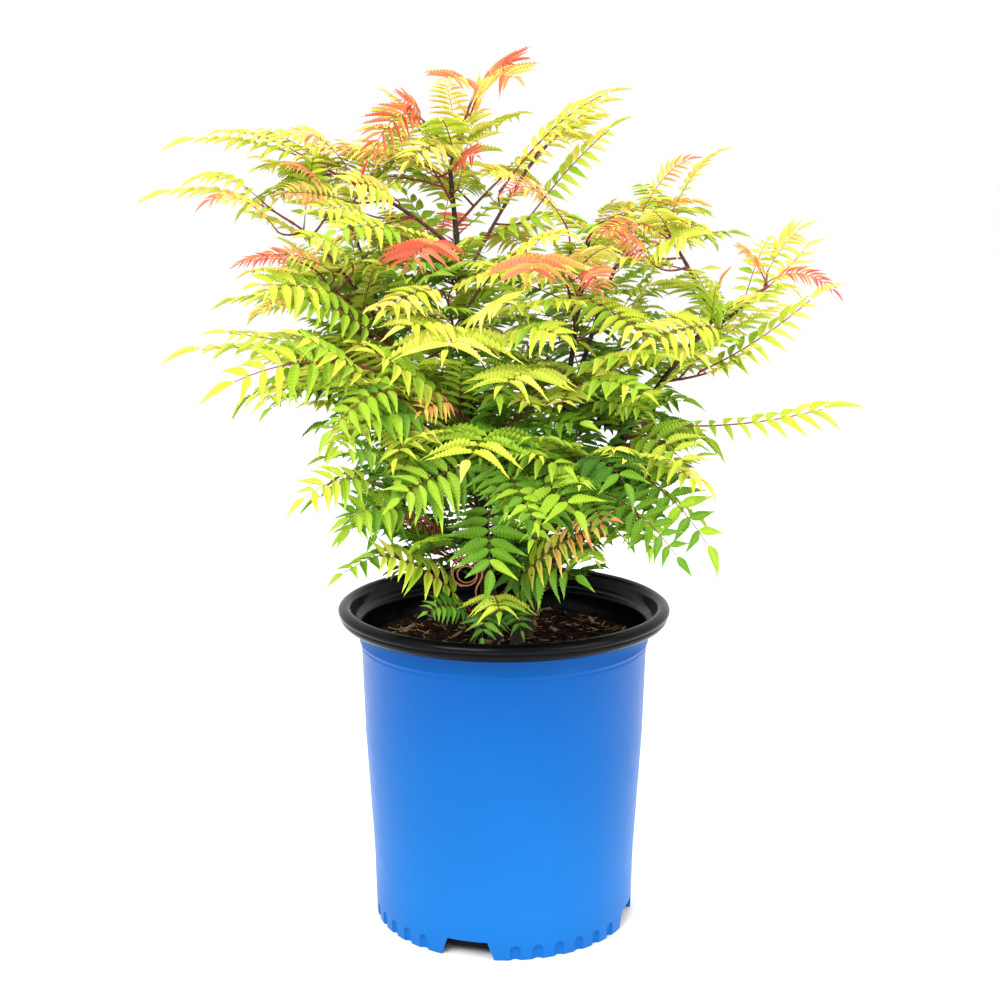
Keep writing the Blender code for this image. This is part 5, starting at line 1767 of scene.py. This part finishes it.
def tendril_line():
    """A dried leaf rib that rises from the sprig and lies in a loose coil."""
    coil = Vector(TENDRIL_COIL)
    turned = []
    for step in range(TENDRIL_STEPS + 1):
        share = step / TENDRIL_STEPS
        angle = math.tau * (TENDRIL_TURNS * share - TENDRIL_START_TURN)
        uneven = TENDRIL_UNEVENNESS * math.sin(angle * 0.43 + 1)
        radius = TENDRIL_RADIUS * (1 + uneven - TENDRIL_NARROWING * share)
        sway = TENDRIL_SWAY * math.sin(angle * 0.61)
        turned.append(coil + Vector((math.cos(angle) * radius, sway, math.sin(angle) * radius)))
    rise = Bend(Vector(TENDRIL_FOOT), turned[0], 0)
    rise.control = turned[0] - (turned[1] - turned[0]).normalized() * TENDRIL_RISE_BEND
    points = [rise.point(step / TENDRIL_RISE_STEPS) for step in range(TENDRIL_RISE_STEPS)] + turned
    last = len(points) - 1
    return points, [TENDRIL_GIRTH * (1.2 - 0.6 * step / last) for step in range(last + 1)]


def leaflet_half(share):
    """Half the leaflet's width as a share of its full width: round at its foot, drawn out at its tip."""
    if share < LEAFLET_WIDEST:
        return 0.5 * math.sin(math.pi / 2 * share / LEAFLET_WIDEST) ** LEAFLET_FOOT_ROUNDNESS
    rest = (share - LEAFLET_WIDEST) / (1 - LEAFLET_WIDEST)
    return 0.5 * (1 - rest) ** LEAFLET_TIP_TAPER * (1 + LEAFLET_TIP_FULLNESS * rest)


def leaflet_mesh(name, droop, sweep):
    """A leaflet one unit long and wide: saw-toothed, folded at its midrib, pleated at its side veins."""

    def place(along, across, pleat):
        rise = abs(across) * LEAFLET_FOLD + pleat - droop * along**LEAFLET_CURL
        return along, across + sweep * along**2, rise

    bm = bmesh.new()
    ends = [0]
    for tooth in range(1, LEAFLET_TEETH + 1):
        ends.append(LEAFLET_TOOTH_START + LEAFLET_TOOTH_SPAN * tooth / LEAFLET_TEETH)
    midrib = [bm.verts.new(place(end, 0, 0)) for end in ends]
    tip = bm.verts.new(place(1, 0, 0))
    for hand in (-1, 1):
        before = midrib[0]
        for tooth, (near, far) in enumerate(zip(ends, ends[1:])):
            notch = near + (far - near) * TOOTH_NOTCH
            point = near + (far - near) * TOOTH_POINT
            inner = hand * leaflet_half(notch) * NOTCH_REACH
            outer = hand * leaflet_half(point) * TOOTH_REACH
            valley = bm.verts.new(place(notch, inner, LEAFLET_PLEAT))
            peak = bm.verts.new(place(point, outer, -LEAFLET_PLEAT / 2))
            if tooth:
                add_turned(bm, (midrib[tooth], valley, before), hand)
            add_turned(bm, (midrib[tooth], peak, valley), hand)
            add_turned(bm, (midrib[tooth], midrib[tooth + 1], peak), hand)
            before = peak
        add_turned(bm, (midrib[-1], tip, before), hand)
    return finished_bmesh(bm, name)


def add_turned(bm, corners, hand):
    """A face whose corners run the other way round on the left hand, so that both halves face up."""
    bm.faces.new(corners if hand > 0 else corners[::-1])


def leaflet_size(share):
    """A leaflet's length along the blade, as a share of the longest: fullest a third of the way up."""
    if share < FULLEST_PLACE:
        swell = math.sin(math.pi / 2 * share / FULLEST_PLACE)
        return FIRST_PAIR_SIZE + (1 - FIRST_PAIR_SIZE) * swell
    return 1 - LAST_PAIR_LOSS * ((share - FULLEST_PLACE) / (1 - FULLEST_PLACE)) ** PAIR_SIZE_CURVE


def leaflet_turn(axes, along, hand, sag, youth, draw):
    """How a leaflet stands: the end one points ahead, the others open to their hand and sag."""
    heading, side, face = axes
    opening = LEAFLET_OPENING - OPENING_LOSS_ALONG * along - OPENING_LOSS_YOUNG * youth
    opening += OPENING_GAIN_AHEAD * abs(heading.y) + draw.uniform(-OPENING_SCATTER, OPENING_SCATTER)
    opening = math.radians(opening)
    forward = math.cos(opening) if hand else 1
    outward = heading * forward + side * hand * math.sin(opening)
    outward -= face * (sag if hand else END_SAG) * draw.uniform(*SAG_SCATTER)
    outward.normalize()
    level = face.lerp(UP, min(YOUNG_LEVELLING * youth, MOST_LEVELLING))
    lie = level.cross(outward).normalized()
    up = outward.cross(lie)
    twisted = draw.uniform(-TWIST_SCATTER, TWIST_SCATTER) - hand * TWIST_OUTWARD
    twist = Matrix.Rotation(twisted, 3, outward)
    return Matrix((outward, twist @ lie, twist @ up)).transposed().to_euler()


def leaflet_measures(leaf, along, hand, ahead, longest, width, draw):
    """A leaflet's length, width and depth. The end one is short where it points at the viewer."""
    fullness = leaflet_size(along)
    if leaf.slim:
        fullness = SLIM_FIRST_PAIR_SIZE + (1 - SLIM_FIRST_PAIR_SIZE) * along
    length = longest * fullness * draw.uniform(*LENGTH_SCATTER)
    if not hand:
        length = longest * (END_LEAFLET_SIZE - END_LEAFLET_SHORTENING * ahead)
    wide = width * (length / LEAFLET_MIDDLING) ** 0.5 * (1 - YOUNG_SLIMNESS * leaf.youth)
    wide = min(wide * draw.uniform(*WIDTH_SCATTER), length * LEAFLET_STOUTEST)
    return length, wide, length


def leaflets_of(leaf, width, draw):
    """Each leaflet's root, turn, size, kind and tone."""
    youth = leaf.youth
    longest = leaf.leaflet * draw.uniform(*LEAF_SIZE_SCATTER)
    spacing = longest * PAIR_SPACING * (1 - YOUNG_CROWDING * youth)
    pairs = round(leaf.length * (1 - PETIOLE_SHARE) / spacing)
    pairs = min(max(pairs, FEWEST_PAIRS), MOST_PAIRS)
    sag = draw.uniform(*SAG_RANGE) * (1 - youth)
    found = []
    for pair in range(pairs + 1):
        along = pair / pairs
        share = PETIOLE_SHARE + (LAST_LEAFLET_PLACE - PETIOLE_SHARE) * along
        axes = leaf.frame(share)
        ahead = abs(axes[0].y)
        tone = leaf.tones[0] + (leaf.tones[1] - leaf.tones[0]) * along
        for hand in (0,) if pair == pairs else (-1, 1):
            turn = leaflet_turn(axes, along, hand, sag, youth, draw)
            size = leaflet_measures(leaf, along, hand, ahead, longest, width, draw)
            kind = draw.randrange(len(LEAFLET_SHAPES)) * 2 + (hand > 0)
            step = tone + draw.uniform(-1, 1) * (TINT_SCATTER + YOUNG_TINT_SCATTER * youth)
            found.append((leaf.bend.point(share), turn, size, kind, step))
    return found


def spray_tree():
    """Sets a leaflet at each point, with the turn, size and kind that the point holds."""
    tree, given = new_geometry_tree(
        "spray", {"Leaflets": "NodeSocketCollection", "Material": "NodeSocketMaterial"}
    )
    shelf = add_node(
        tree, "GeometryNodeCollectionInfo",
        {"Collection": given["Leaflets"], "Separate Children": True, "Reset Children": True},
    )
    turn = add_node(
        tree, "GeometryNodeInputNamedAttribute", {"Name": "turn"}, data_type="FLOAT_VECTOR"
    )
    size = add_node(
        tree, "GeometryNodeInputNamedAttribute", {"Name": "size"}, data_type="FLOAT_VECTOR"
    )
    kind = add_node(tree, "GeometryNodeInputNamedAttribute", {"Name": "kind"}, data_type="INT")
    rotation = add_node(tree, "FunctionNodeEulerToRotation", {"Euler": turn.outputs["Attribute"]})
    copies = add_node(
        tree, "GeometryNodeInstanceOnPoints",
        {
            "Points": given["Geometry"],
            "Instance": shelf.outputs["Instances"],
            "Pick Instance": True,
            "Instance Index": kind.outputs["Attribute"],
            "Rotation": rotation.outputs["Rotation"],
            "Scale": size.outputs["Attribute"],
        },
    )
    return finish_tree(tree, copies.outputs["Instances"], given["Material"])


def spray_points(name, leaflets):
    """A mesh of loose points that hold each leaflet's turn, size and kind."""
    mesh = bpy.data.meshes.new(name)
    mesh.from_pydata([tuple(root) for root, *_ in leaflets], [], [])
    turn = mesh.attributes.new("turn", "FLOAT_VECTOR", "POINT")
    turn.data.foreach_set("vector", [v for item in leaflets for v in item[1]])
    size = mesh.attributes.new("size", "FLOAT_VECTOR", "POINT")
    size.data.foreach_set("vector", [v for item in leaflets for v in item[2]])
    kind = mesh.attributes.new("kind", "INT", "POINT")
    kind.data.foreach_set("value", [item[3] for item in leaflets])
    return mesh


def leaf_material(name, colour, roughness):
    """A living leaf: a soft waxy gloss over one even tint. The pleats give it its light and shade."""
    return new_material(f"{name}_blade", linear(colour), roughness, gloss=0.35)[0]


class SPIREA_OT_build_foliage(bpy.types.Operator):
    """Grows the twigs, the leaves' ribs and the leaflets in their autumn tints"""

    bl_idname = "spirea.build_foliage"
    bl_label = "Build Foliage"

    def execute(self, context):
        settings = context.scene.spirea_leaves
        twigs, leaves = grow_foliage(grow_limbs(), settings.density)
        tubes = tube_tree()
        young = bark_material("spirea_twig_red", "#551C18", "#84382A", "#A87458", 0.45)
        values = {
            "Sides": TWIG_SIDES, "Relief": TWIG_RELIEF, "Grain": pattern_scale(TWIG_RIDGE_SPACING),
            "Material": young,
        }
        twig_lines = [twig_line(*twig) for twig in twigs]
        mesh = grown_mesh(network_mesh("twigs", twig_lines), tubes, "twigs", values)
        add_piece("twigs", mesh, "young_bark", tuple(MASSES))
        # Living stalks: smooth, with a soft sheen, red on ripening leaves and brown on green ones.
        # The dried one is duller
        red = new_material("leaf_rib_red", linear("#8A3226"), roughness=0.45)[0]
        olive = new_material("leaf_rib_olive", linear("#6A4220"), roughness=0.5)[0]
        dried = new_material("dried_rib_straw", linear("#B4704C"), roughness=0.6)[0]
        ripening = [rib_line(leaf) for leaf in leaves if leaf.tones[0] >= GREEN_RIB_TONE]
        green = [rib_line(leaf) for leaf in leaves if leaf.tones[0] < GREEN_RIB_TONE]
        for name, lines, material, slot, replaced in (
            ("leaf_ribs_red", ripening, red, "young_bark", tuple(MASSES)),
            ("leaf_ribs_olive", green, olive, "leaf_green", tuple(MASSES)),
            ("dried_tendril", [tendril_line()], dried, "young_bark", ("foliage_soil_sprig",)),
        ):
            values = {"Sides": RIB_SIDES, "Relief": 0.0, "Grain": 1.0, "Material": material}
            mesh = grown_mesh(network_mesh(name, lines), tubes, name, values)
            add_piece(name, mesh, slot, replaced)
        shapes = []
        for index, (droop, sweep) in enumerate(LEAFLET_SHAPES):
            shapes.append(leaflet_mesh(f"leaflet_{index}_left", droop, sweep))
            shapes.append(leaflet_mesh(f"leaflet_{index}_right", droop, -sweep))
        draw = random.Random(SEED)
        by_tint = [[] for _ in TINTS]
        for leaf in leaves:
            for leaflet in leaflets_of(leaf, settings.leaflet_width, draw):
                by_tint[min(max(round(leaflet[4]), 0), len(TINTS) - 1)].append(leaflet)
        spray = spray_tree()
        shelf = kept_apart(shapes)
        for (name, colour, slot), leaflets in zip(TINTS, by_tint):
            material = leaf_material(name, colour, settings.roughness)
            values = {"Leaflets": shelf, "Material": material}
            mesh = grown_mesh(spray_points(name, leaflets), spray, name, values)
            add_piece(name, mesh, slot, tuple(MASSES))
        clear_shelf(shelf)
        return {"FINISHED"}


# Stage
def add_area_light(name, place, size, power):
    """A soft square light that faces the middle of the plant."""
    light = bpy.data.lights.new(name, "AREA")
    light.size = size
    light.energy = power
    obj = bpy.data.objects.new(name, light)
    bpy.context.scene.collection.objects.link(obj)
    obj.location = place
    aim = Vector(LIGHTS_AIM) - Vector(place)
    obj.rotation_euler = aim.to_track_quat("-Z", "Y").to_euler()


class SPIREA_OT_build_stage(bpy.types.Operator):
    """Builds the pale studio floor, the soft lights and the camera"""

    bl_idname = "spirea.build_stage"
    bl_label = "Build Stage"

    def execute(self, context):
        settings = context.scene.spirea_stage
        bm = bmesh.new()
        bmesh.ops.create_grid(bm, x_segments=1, y_segments=1, size=FLOOR_REACH)
        # Matt studio paper, which gives the eye nothing but the pot's soft shadow
        paper, _, _ = new_material("studio_floor_matt", settings.floor_colour, roughness=0.8)
        floor = bpy.data.objects.new("studio_floor", finished_bmesh(bm, "studio_floor", paper))
        context.scene.collection.objects.link(floor)
        floor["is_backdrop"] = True
        world = bpy.data.worlds.new("studio_white")
        world.use_nodes = True
        world.node_tree.nodes["Background"].inputs["Color"].default_value = (1, 1, 1, 1)
        world.node_tree.nodes["Background"].inputs["Strength"].default_value = SKY_STRENGTH
        context.scene.world = world
        for name, (place, size, share) in LIGHTS.items():
            add_area_light(name, place, size, settings.key_power * share)
        camera = bpy.data.cameras.new("camera")
        camera.lens = CAMERA_LENS
        camera.sensor_width = CAMERA_SENSOR
        camera.clip_end = CAMERA_FARTHEST
        eye = bpy.data.objects.new("camera", camera)
        context.scene.collection.objects.link(eye)
        eye.location = CAMERA_PLACE
        eye.rotation_euler = (CAMERA_PITCH, 0, 0)
        context.scene.camera = eye
        context.scene.view_settings.view_transform = "Standard"
        return {"FINISHED"}


class SPIREA_PT_sidebar(bpy.types.Panel):
    bl_label = "Potted False Spirea"
    bl_idname = "SPIREA_PT_sidebar"
    bl_space_type = "VIEW_3D"
    bl_region_type = "UI"
    bl_category = "Spirea"

    def draw(self, context):
        for group, names in SETTINGS.items():
            for name in names.__annotations__:
                self.layout.prop(getattr(context.scene, group), name)
        for operator in OPERATORS:
            self.layout.operator(operator.bl_idname)


SETTINGS = {
    "spirea_pot": SpireaPotSettings,
    "spirea_mix": SpireaMixSettings,
    "spirea_limbs": SpireaLimbSettings,
    "spirea_leaves": SpireaLeafSettings,
    "spirea_stage": SpireaStageSettings,
}
OPERATORS = (
    SPIREA_OT_build_pot,
    SPIREA_OT_build_mix,
    SPIREA_OT_build_limbs,
    SPIREA_OT_build_foliage,
    SPIREA_OT_build_stage,
)
CLASSES = (*SETTINGS.values(), *OPERATORS, SPIREA_PT_sidebar)


def register():
    for cls in CLASSES:
        bpy.utils.register_class(cls)
    for name, group in SETTINGS.items():
        setattr(bpy.types.Scene, name, PointerProperty(type=group))


def unregister():
    for name in SETTINGS:
        delattr(bpy.types.Scene, name)
    for cls in reversed(CLASSES):
        bpy.utils.unregister_class(cls)


def main():
    """Builds every piece in order, and works out the boxes of the solids and of the finished look."""
    register()
    bpy.ops.spirea.build_pot()
    bpy.ops.spirea.build_mix()
    bpy.ops.spirea.build_limbs()
    bpy.ops.spirea.build_foliage()
    bpy.ops.spirea.build_stage()
    boxes = [[list(corner) for corner in box] for box in (CAD_BOX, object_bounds())]


if __name__ == "__main__":
    main()
